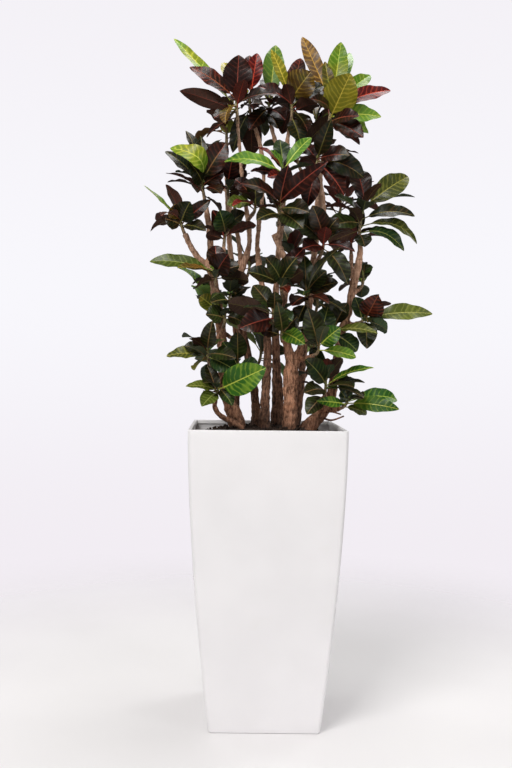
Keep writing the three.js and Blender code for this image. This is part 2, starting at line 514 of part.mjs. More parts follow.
// Side limbs of a stem at the back, spread round it by the golden ratio.
function backLimbs() {
  return BACK_LIMBS.flatMap(([stem, main, heights, phase]) => {
    const trunk = followCurve(limbPath(LIMBS.find(([, limb]) => limb === main)[2]), SAMPLE);
    return heights.map((height, i) => {
      const foot = trunk.find(({ place }) => place.z >= height);
      const share = (i * GOLDEN_SHARE + phase) % 1;
      const heading = Math.PI / 2 + (share - 0.5) * BACK_SPREAD;
      const out = new THREE.Vector3(Math.cos(heading), Math.sin(heading), 0);
      const point = (reach, rise, radius) => [
        ...foot.place.clone().addScaledVector(out, reach).addScaledVector(UP, rise).toArray(), radius];
      return {
        stem,
        limb: `${main}_${i + 1}`,
        path: [
          point(0, 0, foot.radius * BACK_ROOT_SHARE),
          point(BACK_REACH * BACK_MIDDLE.reach, BACK_RISE * BACK_MIDDLE.rise, BACK_MIDDLE.radius),
          point(BACK_REACH, BACK_RISE, BACK_END_RADIUS),
        ],
        out,
      };
    });
  });
}

// Space: cells that hold one owner's samples, and the cells round them. Blades of one shoot
// may come close to each other, but past their roots no two are in the same cell.
const SHARED = -1;

function createSpace() {
  const cells = new Map();
  const filled = new Set();
  const index = (i, j, k) => ((i + 512) * 1024 + (j + 512)) * 1024 + (k + 512);
  const cellOf = (value) => Math.floor(value / CELL);
  const cellAt = ({ x, y, z }) => index(cellOf(x), cellOf(y), cellOf(z));
  return {
    add(samples, owner, outer = []) {
      outer.forEach((sample) => filled.add(cellAt(sample)));
      for (const { x, y, z } of samples) {
        const [i, j, k] = [cellOf(x), cellOf(y), cellOf(z)];
        for (let a = -1; a <= 1; a++) {
          for (let b = -1; b <= 1; b++) {
            for (let c = -1; c <= 1; c++) {
              const key = index(i + a, j + b, k + c);
              const held = cells.get(key);
              if (held === undefined) cells.set(key, owner);
              else if (held !== owner) cells.set(key, SHARED);
            }
          }
        }
      }
    },
    isFree(samples, owner, outer) {
      return !outer.some((sample) => filled.has(cellAt(sample))) && samples.every((sample) => {
        const held = cells.get(cellAt(sample));
        const inPlanter = sample.z < PLANTER_HEIGHT + CELL
          && Math.max(Math.abs(sample.x), Math.abs(sample.y)) < RIM_WIDTH / 2 + CELL;
        return (held === undefined || held === owner) && !inPlanter;
      });
    },
  };
}

// Leaf: a stalk and a blade on one arched midrib, folded up along it, with waved edges.
function bladeHalf(leaf, u) {
  const t = (u - PETIOLE_SHARE) / (1 - PETIOLE_SHARE);
  if (t <= 0) return PETIOLE_RADIUS;
  const outline = (place) => place ** ROOT_POWER * Math.max(1 - place, 0) ** TIP_POWER;
  const widest = outline(ROOT_POWER / (ROOT_POWER + TIP_POWER));
  return Math.max(PETIOLE_RADIUS * (1 - t), ((leaf.width / 2) * outline(t)) / widest);
}

function makeLeaf(root, tip, { width, turn, arch, twist, phase, tone }) {
  const axis = tip.clone().sub(root);
  const length = axis.length();
  axis.divideScalar(length);
  const face = UP.clone().multiplyScalar(1 - Math.abs(turn)).addScaledVector(TOWARD_EYE, turn);
  face.addScaledVector(axis, -face.dot(axis));
  if (face.length() < 0.05) face.set(-axis.y, axis.x, 0);
  face.normalize();
  return { root, axis, length, face, width, arch, twist, phase, tone };
}

function leafPoint(leaf, u, v, lift = 0) {
  const { root, axis, length, face, arch, twist, phase } = leaf;
  const slope = 4 * arch * (1 - 2 * u);
  const way = axis.clone().addScaledVector(face, slope).normalize();
  const normal = face.clone().addScaledVector(axis, -slope).normalize();
  const side = normal.clone().cross(way);
  const angle = twist * (u - 0.5);
  const turnedSide = side.clone().multiplyScalar(Math.cos(angle)).addScaledVector(normal, Math.sin(angle));
  const turnedNormal = normal.multiplyScalar(Math.cos(angle)).addScaledVector(side, -Math.sin(angle));
  const half = bladeHalf(leaf, u);
  const share = Math.min(half / WAVE_HALF_WIDTH, WAVE_LIMIT);
  const turn = WAVE_TURNS * u + phase + (v > 0 ? 0 : WAVE_OFFSET);
  const wave = WAVE_HEIGHT * Math.sin(turn) * share * v * v;
  return root.clone()
    .addScaledVector(axis, length * u)
    .addScaledVector(face, 4 * arch * length * u * (1 - u))
    .addScaledVector(turnedSide, v * half)
    .addScaledVector(turnedNormal, BLADE_FOLD * Math.abs(v) * half + wave + lift);
}

function leafSamples(leaf, free) {
  const samples = [];
  const rows = Math.ceil(leaf.length / SAMPLE);
  for (let i = 0; i <= rows; i++) {
    const u = i / rows;
    if (u * leaf.length < free) continue;
    const columns = Math.max(1, Math.ceil(bladeHalf(leaf, u) / SAMPLE));
    for (let j = -columns; j <= columns; j++) samples.push(leafPoint(leaf, u, j / columns));
  }
  return samples;
}

function hidesGap(leaf) {
  return GAP_PROBES.some(([u, v]) => {
    const point = leafPoint(leaf, u, v);
    const { x, z } = EYE.clone().lerp(point, EYE.y / (EYE.y - point.y));
    return GAPS.some(([left, right, low, high]) => x > left && x < right && z > low && z < high);
  });
}

function leafSolid(leaf) {
  const thick = BLADE_THICKNESS / 2;
  const section = (u, half) => [
    leafPoint(leaf, u, 1),
    leafPoint(leaf, u, 0, half),
    leafPoint(leaf, u, -1),
    leafPoint(leaf, u, 0, -half),
  ];
  const shares = leaf.length < SMALL_BLADE ? SMALL_BLADE_CUTS : BLADE_CUTS;
  const cuts = shares.map((t) => PETIOLE_SHARE + (1 - PETIOLE_SHARE) * t);
  return loft(
    [section(0, PETIOLE_RADIUS), section(PETIOLE_SHARE, PETIOLE_RADIUS),
      ...cuts.map((u) => section(u, thick))],
    { tip: leafPoint(leaf, 1, 0), leafLike: true },
  );
}

// A leaf that comes too near other stems is bent a little further each time until it is
// clear, then made smaller, and left off where no try is clear.
function placeLeaf(spec, root, owner, space, seed, sideways) {
  const draw = draws(seed);
  const twist = (draw() - 0.5) * BLADE_TWIST;
  const phase = draw() * 2 * Math.PI;
  for (let attempt = 0; attempt < TRIES; attempt++) {
    const reach = Math.min(attempt * BEND_STEP, BEND_LIMIT);
    const shift = [draw() - 0.5, draw() - 0.5, draw() - 0.5, draw() - 0.5];
    const tip = spec.tip.clone();
    tip.x += shift[0] * reach * sideways;
    tip.y += shift[1] * reach * DEPTH_BEND;
    tip.z += shift[2] * reach * sideways;
    if (attempt > TRIES / 2) tip.lerp(root, SHORTER);
    const leaf = makeLeaf(root, tip, {
      width: spec.width * (attempt > TRIES / 3 ? NARROWER : 1),
      turn: THREE.MathUtils.clamp(spec.turn + shift[3] * attempt * TURN_BEND, -1, 1),
      arch: spec.arch,
      twist,
      phase,
      tone: spec.tone,
    });
    const samples = leafSamples(leaf, ROOT_FREE);
    const outer = leafSamples(leaf, OWN_FREE);
    if (space.isFree(samples, owner, outer) && !(spec.behind && hidesGap(leaf))) {
      space.add(samples, owner, outer);
      return leaf;
    }
  }
  return null;
}

// Shoot: a green stem from the end of a limb to its growing tip.
function shootAxis(limbEnd, apex) {
  const base = limbEnd.place.clone().addScaledVector(limbEnd.way, FIT_GAP);
  const length = base.distanceTo(apex);
  const bend = base.clone().addScaledVector(limbEnd.way, length * SHOOT_BEND);
  return { base, bend, apex, length };
}

function onShoot({ base, bend, apex }, t) {
  const place = base.clone().multiplyScalar((1 - t) ** 2)
    .addScaledVector(bend, 2 * t * (1 - t)).addScaledVector(apex, t * t);
  const way = bend.clone().sub(base).multiplyScalar(1 - t)
    .addScaledVector(apex.clone().sub(bend), t).normalize();
  const radius = SHOOT_BASE_RADIUS + (SHOOT_TIP_RADIUS - SHOOT_BASE_RADIUS) * t;
  return { place, way, radius };
}

function shootStations(axis, steps) {
  return Array.from({ length: steps + 1 }, (_, k) => onShoot(axis, k / steps));
}

function tubeSamples(stations) {
  return stations.flatMap((station) => {
    const sides = Math.max(4, Math.ceil((2 * Math.PI * station.radius) / SAMPLE));
    return ringsAlong([station], sides)[0];
  });
}

function toneAt(z, share) {
  const tones = z > HIGH_TONES ? "DBYDR" : z > LOW_TONES ? "DDKDR" : "KDGKK";
  return tones[Math.floor(share * tones.length)];
}

// Leaves by rule, oldest first: long and drooping below, short and upright at the tip.
// The sector, centred on the back, holds their headings.
function ruledLeaves(axis, count, seed, sector) {
  const draw = draws(seed);
  const phase = draw();
  return Array.from({ length: count }, (_, i) => {
    const age = 1 - (i + 0.5) / count;
    const byAge = (young, old) => young + (old - young) * age;
    const vary = (spread) => (draw() - 0.5) * spread;
    const share = (i * GOLDEN_SHARE + phase) % 1;
    const heading = Math.PI / 2 + (share - 0.5) * sector;
    const rise = THREE.MathUtils.degToRad(byAge(YOUNG_RISE, OLD_RISE) + vary(RISE_SPREAD));
    const length = byAge(YOUNG_LENGTH, OLD_LENGTH) * (1 + vary(LENGTH_SPREAD));
    const t = byAge(YOUNGEST_ROOT, OLDEST_ROOT);
    const out = new THREE.Vector3(
      Math.cos(rise) * Math.cos(heading),
      Math.cos(rise) * Math.sin(heading),
      Math.sin(rise),
    );
    const root = onShoot(axis, t).place;
    return {
      t,
      tip: root.clone().addScaledVector(out, length),
      width: length * (WIDTH_SHARE + WIDTH_SPREAD * draw()),
      turn: 0,
      arch: BLADE_ARCH + OLD_ARCH * age,
      tone: toneAt(root.z, draw()),
      behind: true,
    };
  });
}

// Leaves that show, in the order of the table: roots spread evenly up the shoot.
function shownLeaves(axis, rows) {
  const first = Math.min(FIRST_LEAF / axis.length, 0.6);
  return rows.map(([x, z, dy, width, turn, tone, arch = BLADE_ARCH], i) => {
    const t = first + ((LAST_LEAF_SHARE - first) * (i + 0.5)) / rows.length;
    return { t, tip: seen(x, z, axis.apexDepth + dy), width, turn, arch, tone };
  });
}

function growPlant() {
  const space = createSpace();
  const limbs = [
    ...LIMBS.map(([stem, limb, points]) => ({ stem, limb, path: limbPath(points) })),
    ...backLimbs(),
  ];
  const owners = [...new Set(limbs.map(({ stem }) => stem))];
  const ends = new Map();
  for (const { stem, limb, path } of limbs) {
    const fine = followCurve(path, SAMPLE);
    ends.set(limb, fine.at(-1));
    space.add(tubeSamples(fine), owners.indexOf(stem));
  }

  const shoots = SHOOTS.map(([name, limb, [x, z, depth], more, rows]) => {
    const axis = shootAxis(ends.get(limb), seen(x, z, depth));
    axis.apexDepth = depth;
    return { name, axis, shown: shownLeaves(axis, rows), more, sector: Math.PI };
  });
  const backEnds = limbs.filter(({ out, limb }) => out || limb === "back_left" || limb === "back_right");
  for (const { limb, out } of backEnds) {
    const end = ends.get(limb);
    const apex = end.place.clone().addScaledVector(UP, BACK_SHOOT_LENGTH);
    if (out) apex.addScaledVector(out, BACK_SHOOT_LEAN);
    const name = `shoot_${String(shoots.length + 1).padStart(2, "0")}`;
    shoots.push({ name, axis: shootAxis(end, apex), shown: [], more: BACK_LEAVES, sector: 2 * Math.PI });
  }
  shoots.forEach((shoot, i) => {
    shoot.owner = owners.length + i;
    shoot.leaves = [];
    space.add(tubeSamples(shootStations(shoot.axis, Math.ceil(shoot.axis.length / SAMPLE))), shoot.owner);
  });

  const place = (shoot, specs, seed, sideways) => {
    const widestFirst = [...specs.keys()].sort((a, b) => specs[b].width - specs[a].width);
    for (const i of widestFirst) {
      const root = onShoot(shoot.axis, specs[i].t).place;
      const leaf = placeLeaf(specs[i], root, shoot.owner, space, seed + i, sideways);
      if (leaf) shoot.leaves.push(leaf);
    }
  };
  shoots.forEach((shoot, i) => place(shoot, shoot.shown, 100 * (i + 1), SHOWN_BEND));
  shoots.forEach((shoot, i) => {
    const leaves = ruledLeaves(shoot.axis, shoot.more, 50 + i, shoot.sector);
    place(shoot, leaves, 100 * (i + 1) + 50, RULED_BEND);
  });
  return { limbs, shoots };
}

function woodSides(path) {
  return path[0][3] > THICK_WOOD ? TRUNK_SIDES : LIMB_SIDES;
}

function stemSolid(limbs) {
  return joined(limbs.map(({ path }) => loft(ringsAlong(followCurve(path, WOOD_STEP), woodSides(path)))));
}

function shootSolid({ axis, leaves }) {
  const stem = loft(ringsAlong(shootStations(axis, SHOOT_STEPS), SHOOT_SIDES));
  return joined([stem, ...leaves.map(leafSolid)]);
}

function mainTone({ leaves }) {
  const weight = (tone) => leaves.filter((leaf) => leaf.tone === tone)
    .reduce((sum, { length, width }) => sum + length * width, 0);
  return Object.keys(LEAF_COLOURS).reduce((best, tone) => (weight(tone) > weight(best) ? tone : best));
}

// Soil: fills the planter up to a low mound, with a plain hole round the foot of each stem.
function soil(limbs) {
  const low = FLOOR_THICKNESS + FIT_GAP;
  const levels = WALL_LEVELS
    .map((share) => FLOOR_THICKNESS + (PLANTER_HEIGHT - FLOOR_THICKNESS) * share)
    .filter((z) => z > low && z < SOIL_LEVEL);
  const mound = (share, rise) => {
    const half = planterHalf(SOIL_LEVEL) * share;
    return roundedSquare(half, half * 0.6, SOIL_LEVEL + SOIL_MOUND * rise);
  };
  const block = loft([
    ...[low, ...levels, SOIL_LEVEL].map((z) => wallRing(z, WALL + 2 * FIT_GAP)),
    mound(0.74, 0.6),
    mound(0.46, 1),
  ]);
  return limbs
    .filter(({ path }) => path[0][2] < SOIL_LEVEL - 20)
    .reduce((body, { path }) => {
      const stations = followCurve(path, WOOD_STEP);
      const above = stations.findIndex(({ place }) => place.z > HOLE_TOP);
      const foot = stations.slice(0, above + 1);
      foot[0].place.addScaledVector(foot[0].way, -HOLE_GAP);
      return body.subtract(loft(ringsAlong(foot, woodSides(path), HOLE_GAP)));
    }, block);
}

const group = new THREE.Group();

function addPiece(name, solid, color, roughness) {
  const material = new THREE.MeshStandardMaterial({ color, roughness, metalness: 0 });
  const mesh = new THREE.Mesh(toGeometry(solid), material);
  mesh.name = name;
  group.add(mesh);
}

const { limbs, shoots } = growPlant();

addPiece("planter", planter(), 0xf2f1ee, 0.35);
addPiece("soil", soil(limbs), 0x241a14, 0.95);
for (const stem of new Set(limbs.map((limb) => limb.stem))) {
  addPiece(stem, stemSolid(limbs.filter((limb) => limb.stem === stem)), 0x8a6a55, 0.85);
}
for (const shoot of shoots) {
  addPiece(shoot.name, shootSolid(shoot), LEAF_COLOURS[mainTone(shoot)], 0.45);
}

export default group;
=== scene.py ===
"""A potted croton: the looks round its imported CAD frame. Blender 4.5.

Each piece replaces its CAD solid. Wood and leaves grow by the same rule, from the same tables,
as the solids do, and inner leaves are added between them.
Lengths are millimetres until a mesh is made, and metres in Blender.
"""

import math
from types import SimpleNamespace

import bpy
import numpy as np
from mathutils import Matrix, Vector


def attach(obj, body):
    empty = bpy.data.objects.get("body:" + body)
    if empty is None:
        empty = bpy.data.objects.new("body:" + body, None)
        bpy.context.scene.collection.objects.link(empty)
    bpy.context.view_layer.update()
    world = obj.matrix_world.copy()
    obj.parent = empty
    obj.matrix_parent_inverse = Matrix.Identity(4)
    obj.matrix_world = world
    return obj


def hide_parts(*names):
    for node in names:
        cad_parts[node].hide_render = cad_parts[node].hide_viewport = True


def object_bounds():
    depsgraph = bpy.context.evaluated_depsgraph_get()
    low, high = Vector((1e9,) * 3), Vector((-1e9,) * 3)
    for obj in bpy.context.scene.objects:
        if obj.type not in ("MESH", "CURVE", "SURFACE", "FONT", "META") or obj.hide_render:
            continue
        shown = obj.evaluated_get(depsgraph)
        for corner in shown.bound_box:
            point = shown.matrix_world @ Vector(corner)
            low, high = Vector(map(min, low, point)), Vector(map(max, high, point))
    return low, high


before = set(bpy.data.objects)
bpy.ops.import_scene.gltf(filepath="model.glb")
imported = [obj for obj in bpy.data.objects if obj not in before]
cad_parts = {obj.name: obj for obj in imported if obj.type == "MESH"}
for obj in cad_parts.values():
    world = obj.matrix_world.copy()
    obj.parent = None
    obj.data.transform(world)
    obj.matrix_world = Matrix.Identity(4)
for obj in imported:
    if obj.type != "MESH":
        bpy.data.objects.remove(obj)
cad_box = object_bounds()

MM = 0.001

# Planter
PLANTER_HEIGHT = 780
RIM_WIDTH = 400
BASE_WIDTH = 288
SIDE_BOW = 1.62
CORNER_RADIUS = 11
WALL = 5
FLOOR_THICKNESS = 8
LIP_REACH = 4
LIP_DEPTH = 10
FOOT_BEVEL = 3
RIM_ROUNDING = 1.6
LIP_SLOPE = 3
LEAST_CORNER = 4
WALL_RINGS = 44
SIDE_PARTS = 10
CORNER_PARTS = 8
EDGE_PARTS = 4
PLANTER_SHARP = 50

# Soil
SOIL_LEVEL = 738
SOIL_MOUND = 38
FIT_GAP = 0.3
SOIL_RINGS = 56
SOIL_WALL_RINGS = 14
SOIL_AROUND = 220
SOIL_CHIPS = 520
SOIL_EDGE = 0.93
SOIL_ROUND_AT = 0.3
SOIL_CORNER_INSET = 7
CHIP_REACH = 0.94
CHIP_SIZES = (2.0, 6.5)
CHIP_CORNER_SHARES = (0.55, 1)
CHIP_STRETCH = (0.5, 1.1)
CHIP_LIFT = 0.1
SOIL_SHARP = 35

# Height of the mound at shares of the way from its middle to the wall
MOUND_SHARES = [0, 0.2, 0.46, 0.74, 1]
MOUND_HEIGHTS = [0.98, 0.985, 0.95, 0.58, 0]

# Crumbs of the soil: waves of a length and a height, each in several directions
GRAINS = [(60, 1.8), (27, 1.5), (13, 1.2), (7, 1.0)]
GRAIN_WAYS = 7
GRAIN_HEIGHT = 1.6

# Leafy shoots
SHOOT_BASE_RADIUS = 4.6
SHOOT_TIP_RADIUS = 3.2
SHOOT_BEND = 0.5
FIRST_LEAF = 17
FIRST_LEAF_LIMIT = 0.6
LAST_LEAF_SHARE = 0.97

# Leaves
PETIOLE_SHARE = 0.15
PETIOLE_RADIUS = 1.5
ROOT_POWER = 0.75
TIP_POWER = 0.62
BLADE_FOLD = 0.24
BLADE_ARCH = 0.1
BLADE_TWIST = 0.7
WAVE_HEIGHT = 2.2
WAVE_TURNS = 15
WAVE_OFFSET = 1.9
WAVE_HALF_WIDTH = 20
WAVE_LIMIT = 1.3
FLATTEST_FACE = 0.05

# Leaves set by rule, from the youngest (age 0) to the oldest (age 1) of a shoot
GOLDEN_SHARE = 0.618034
YOUNG_RISE = 58
OLD_RISE = -4
RISE_SPREAD = 16
YOUNG_LENGTH = 92
OLD_LENGTH = 138
LENGTH_SPREAD = 0.2
WIDTH_SHARE = 0.4
WIDTH_SPREAD = 0.08
OLDEST_ROOT = 0.45
YOUNGEST_ROOT = 0.95
OLD_ARCH = 0.08

# Tones of ruled leaves, drawn from the first row whose height lies below the leaf's root
RULED_TONES = [(1580, "DBYDR"), (1200, "DDKDR"), (0, "KDGKK")]

# Growth keeps the leafy stems clear of each other and of the wood.
CELL = 8
CELLS_ACROSS = 1024
SAMPLE = 5
ROOT_FREE = 14
OWN_FREE = 38
TRIES = 60
BEND_STEP = 3
BEND_LIMIT = 75
DEPTH_BEND = 3
SHOWN_BEND = 0.35
RULED_BEND = 2
TURN_BEND = 0.03
SHORTER = 0.18
NARROWER = 0.85

# Random draws, and the seeds of what is drawn. A step is the room for one shoot or stem.
DRAW_MODULUS = 2147483647
DRAW_FACTOR = 16807
SEED_FACTOR = 7919
SEED_SHIFT = 13
RULE_SEED = 50
LEAF_SEED_STEP = 100
RULED_LEAF_SEED = 50
INNER_RULE_SEED = 5000
INNER_LEAF_SEED = 6000
INNER_RULED_SEED = 6500
INNER_SEED_STEP = 20
STEM_SEED = 7000
BLADE_SEED = 9000
BLADE_SEED_STEP = 40
WOOD_SEED = 300
WOOD_SEED_STEP = 20
GRAIN_SEED = 41
CHIP_SEED = 17

# Positions are given as they are seen from the front: x and z on the upright plane
# through the middle of the planter, and a depth behind (+) or before (-) that plane.
EYE = np.array([-97.0, -2339.0, 943.0])
UP = np.array([0.0, 0.0, 1.0])
TOWARD_EYE = np.array([0.0, -1.0, 0.0])

# Woody limbs: stem, limb, then points of x, z, depth and radius.
LIMBS = [
    ["stem_low", "low", [[-44, 675, -60, 9], [-50, 735, -62, 9], [-66, 774, -66, 8.5],
      [-98, 791, -72, 8], [-126, 808, -76, 7.5], [-137, 830, -78, 7], [-134, 846, -78, 6.5]]],

    ["stem_left", "left", [[-64, 675, 0, 23], [-66, 735, -2, 23], [-83, 805, -5, 21],
      [-101, 850, -8, 18], [-114, 915, -10, 15], [-118, 981, -12, 14.5], [-126, 1062, -14, 14],
      [-140, 1150, -16, 13], [-151, 1205, -18, 13], [-153, 1240, -18, 9.5],
      [-154, 1290, -18, 8.5], [-162, 1345, -20, 7.5], [-169, 1382, -20, 6.5]]],
    ["stem_left", "left_fork", [[-151, 1199, -18, 9], [-184, 1228, -22, 9], [-206, 1260, -26, 8],
      [-222, 1292, -28, 7]]],
    ["stem_left", "left_a", [[-112, 880, -9, 9], [-128, 895, -34, 7.5], [-146, 915, -44, 6.5],
      [-152, 938, -46, 5.5]]],
    ["stem_left", "left_b", [[-121, 1018, -13, 8], [-118, 1032, -42, 6.5], [-114, 1048, -60, 5.5]]],
    ["stem_left", "left_c", [[-136, 1118, -15, 8], [-134, 1134, -44, 7], [-137, 1152, -58, 6]]],
    ["stem_left", "left_d", [[-146, 1172, -17, 8], [-128, 1205, -34, 6.5], [-119, 1235, -40, 6],
      [-117, 1258, -42, 5.5]]],

    ["stem_tall", "tall", [[-27, 675, 36, 17], [-27, 735, 36, 18], [-24, 790, 33, 16],
      [-26, 835, 31, 13], [-35, 900, 27, 12.5], [-50, 975, 24, 12], [-64, 1030, 20, 11],
      [-75, 1080, 16, 10.5], [-74, 1150, 10, 9.5], [-67, 1200, 4, 9], [-52, 1245, -8, 8],
      [-48, 1290, -14, 7], [-56, 1350, -20, 6.5],
      [-68, 1430, -28, 5.6], [-75, 1500, -32, 5], [-83, 1594, -40, 4.8]]],
    ["stem_tall", "tall_fork", [[-70, 1180, 6, 8], [-72, 1230, 14, 7], [-80, 1290, 22, 6.5],
      [-96, 1345, 26, 6], [-104, 1385, 28, 5.5]]],
    ["stem_tall", "tall_a", [[-76, 1060, 17, 7], [-88, 1078, -18, 6.5], [-97, 1098, -48, 5.5]]],
    ["stem_tall", "tall_b", [[-46, 880, 28, 8], [-60, 898, 6, 6.5], [-70, 916, -8, 5.5]]],
    ["stem_tall", "tall_c", [[-54, 1332, -19, 6], [-45, 1340, -46, 5.5], [-38, 1350, -62, 5.2]]],

    ["stem_middle", "middle", [[-2, 675, -25, 20], [-3, 735, -26, 20], [-2, 792, -28, 17],
      [0, 857, -30, 14], [2, 908, -31, 12.5], [4, 986, -32, 10.5], [0, 1051, -30, 10],
      [-8, 1130, -20, 9], [-20, 1200, -8, 8], [-26, 1250, 2, 7], [-24, 1310, 12, 7],
      [-16, 1380, 22, 6.5], [-12, 1450, 32, 6], [-22, 1530, 44, 6], [-46, 1605, 52, 5.5]]],
    ["stem_middle", "middle_a", [[0, 1030, -30, 8], [8, 1042, -62, 6.5], [17, 1054, -82, 5.5]]],

    ["stem_dark", "dark", [[30, 675, 60, 21], [31, 735, 60, 21], [33, 800, 59, 19],
      [33, 865, 58, 16], [27, 960, 56, 11.5], [24, 1090, 54, 10.5], [28, 1200, 50, 9.5],
      [36, 1320, 44, 8.5], [44, 1420, 34, 7.5], [51, 1500, 26, 6.5], [52, 1550, 20, 6],
      [60, 1598, 14, 5.5]]],
    ["stem_dark", "dark_fork", [[47, 1455, 31, 6.5], [30, 1500, 34, 6], [14, 1555, 40, 5.5],
      [4, 1596, 46, 5.2]]],
    ["stem_dark", "dark_a", [[42, 1385, 37, 7], [45, 1402, -4, 6.5], [46, 1414, -48, 6],
      [44, 1432, -80, 5.2]]],

    ["stem_front", "front", [[65, 675, -40, 20], [65, 735, -42, 20], [66, 800, -46, 18.5],
      [67, 850, -50, 19], [67, 905, -52, 20.5], [67, 948, -54, 16], [56, 1000, -58, 12],
      [47, 1045, -62, 11], [46, 1100, -66, 10.5], [50, 1160, -68, 10], [54, 1213, -70, 9.5],
      [36, 1253, -72, 9], [18, 1294, -74, 8.5]]],
    ["stem_front", "front_right", [[70, 922, -54, 13], [88, 970, -50, 12], [100, 1010, -46, 11],
      [112, 1080, -40, 10.5], [117, 1150, -38, 10], [124, 1220, -36, 9.5], [136, 1300, -36, 9],
      [148, 1350, -38, 9], [145, 1400, -36, 8.5], [139, 1445, -32, 7.5], [146, 1495, -24, 6.5],
      [156, 1535, -16, 6], [160, 1575, -10, 5.5]]],
    ["stem_front", "front_a", [[24, 1278, -73, 6], [31, 1302, -90, 5.5], [31, 1326, -100, 5]]],
    ["stem_front", "front_b", [[48, 1112, -67, 8], [45, 1122, -92, 6.5], [41, 1134, -108, 5.5]]],
    ["stem_front", "front_c", [[51, 1012, -60, 7], [45, 1006, -86, 6], [42, 1014, -102, 5.2]]],
    ["stem_front", "front_d", [[138, 1448, -32, 7], [132, 1456, -56, 6], [130, 1468, -70, 5.2]]],
    ["stem_front", "front_e", [[122, 1195, -37, 8], [132, 1218, -62, 6.5], [143, 1238, -76, 5.5]]],
    ["stem_front", "front_f", [[113, 1078, -40, 8], [110, 1090, -66, 6.5], [108, 1104, -80, 5.5]]],
    ["stem_front", "front_g", [[86, 958, -51, 8], [110, 962, -74, 6.5], [130, 970, -88, 5.5]]],

    ["stem_right", "right", [[88, 675, 10, 23], [92, 735, 8, 23], [118, 775, 0, 21],
      [150, 812, -8, 19], [174, 850, -12, 15], [186, 925, -14, 13], [197, 1000, -16, 12],
      [208, 1051, -16, 11.5], [221, 1090, -16, 11], [232, 1156, -14, 10.5], [246, 1218, -12, 9.5],
      [250, 1250, -10, 8], [248, 1276, -8, 6.5]]],
    ["stem_right", "right_a", [[150, 812, -8, 10], [152, 836, -36, 8], [158, 858, -54, 6]]],
    ["stem_right", "right_b", [[166, 834, -10, 9], [188, 824, -30, 7.5], [204, 828, -42, 6]]],
    ["stem_right", "right_c", [[213, 1062, -16, 8], [231, 1054, -24, 7], [247, 1058, -28, 6]]],
    ["stem_right", "right_d", [[228, 1130, -14, 7], [239, 1140, 6, 6.5], [250, 1150, 14, 5.5]]],
    ["stem_right", "right_e", [[198, 1000, -16, 7], [189, 1008, -42, 6.5], [184, 1020, -56, 5.5]]],
    ["stem_right", "right_f", [[233, 1160, -14, 7], [228, 1200, 22, 6.5], [226, 1246, 46, 5.5]]],
    ["stem_right", "twig_a", [[148, 804, -10, 3.6], [178, 795, -50, 2.6], [212, 806, -66, 2]]],
    ["stem_right", "twig_b", [[156, 814, -10, 3.6], [178, 818, -46, 2.6], [204, 811, -60, 2]]],

    ["stem_back_left", "back_left", [[-74, 675, 110, 11], [-75, 735, 110, 11],
      [-78, 850, 112, 10], [-80, 1000, 114, 9.5], [-90, 1150, 118, 9], [-104, 1300, 120, 8],
      [-110, 1430, 118, 7], [-112, 1525, 110, 6]]],
    ["stem_back_right", "back_right", [[80, 675, 120, 12], [82, 735, 120, 12],
      [92, 860, 122, 11], [104, 1010, 124, 10], [118, 1160, 126, 9], [130, 1310, 124, 8],
      [134, 1440, 116, 7], [128, 1550, 104, 6]]],
]

# Side limbs of the two stems at the back: the stem, its main limb, the height at which
# each side limb starts, and where the spread of their headings starts.
BACK_LIMBS = [
    ["stem_back_left", "back_left", [880, 1010, 1140, 1320, 1430], 0.15],
    ["stem_back_right", "back_right", [900, 1030, 1160, 1300, 1430], 0.4],
]
BACK_REACH = 58
BACK_RISE = 50
BACK_ROOT_SHARE = 0.8
BACK_MIDDLE_REACH = 0.5
BACK_MIDDLE_RISE = 0.3
BACK_MIDDLE_RADIUS = 6
BACK_END_RADIUS = 5.2
BACK_SPREAD = math.radians(330)
BACK_LEAVES = 8
BACK_SHOOT_LENGTH = 62
BACK_SHOOT_LEAN = 14

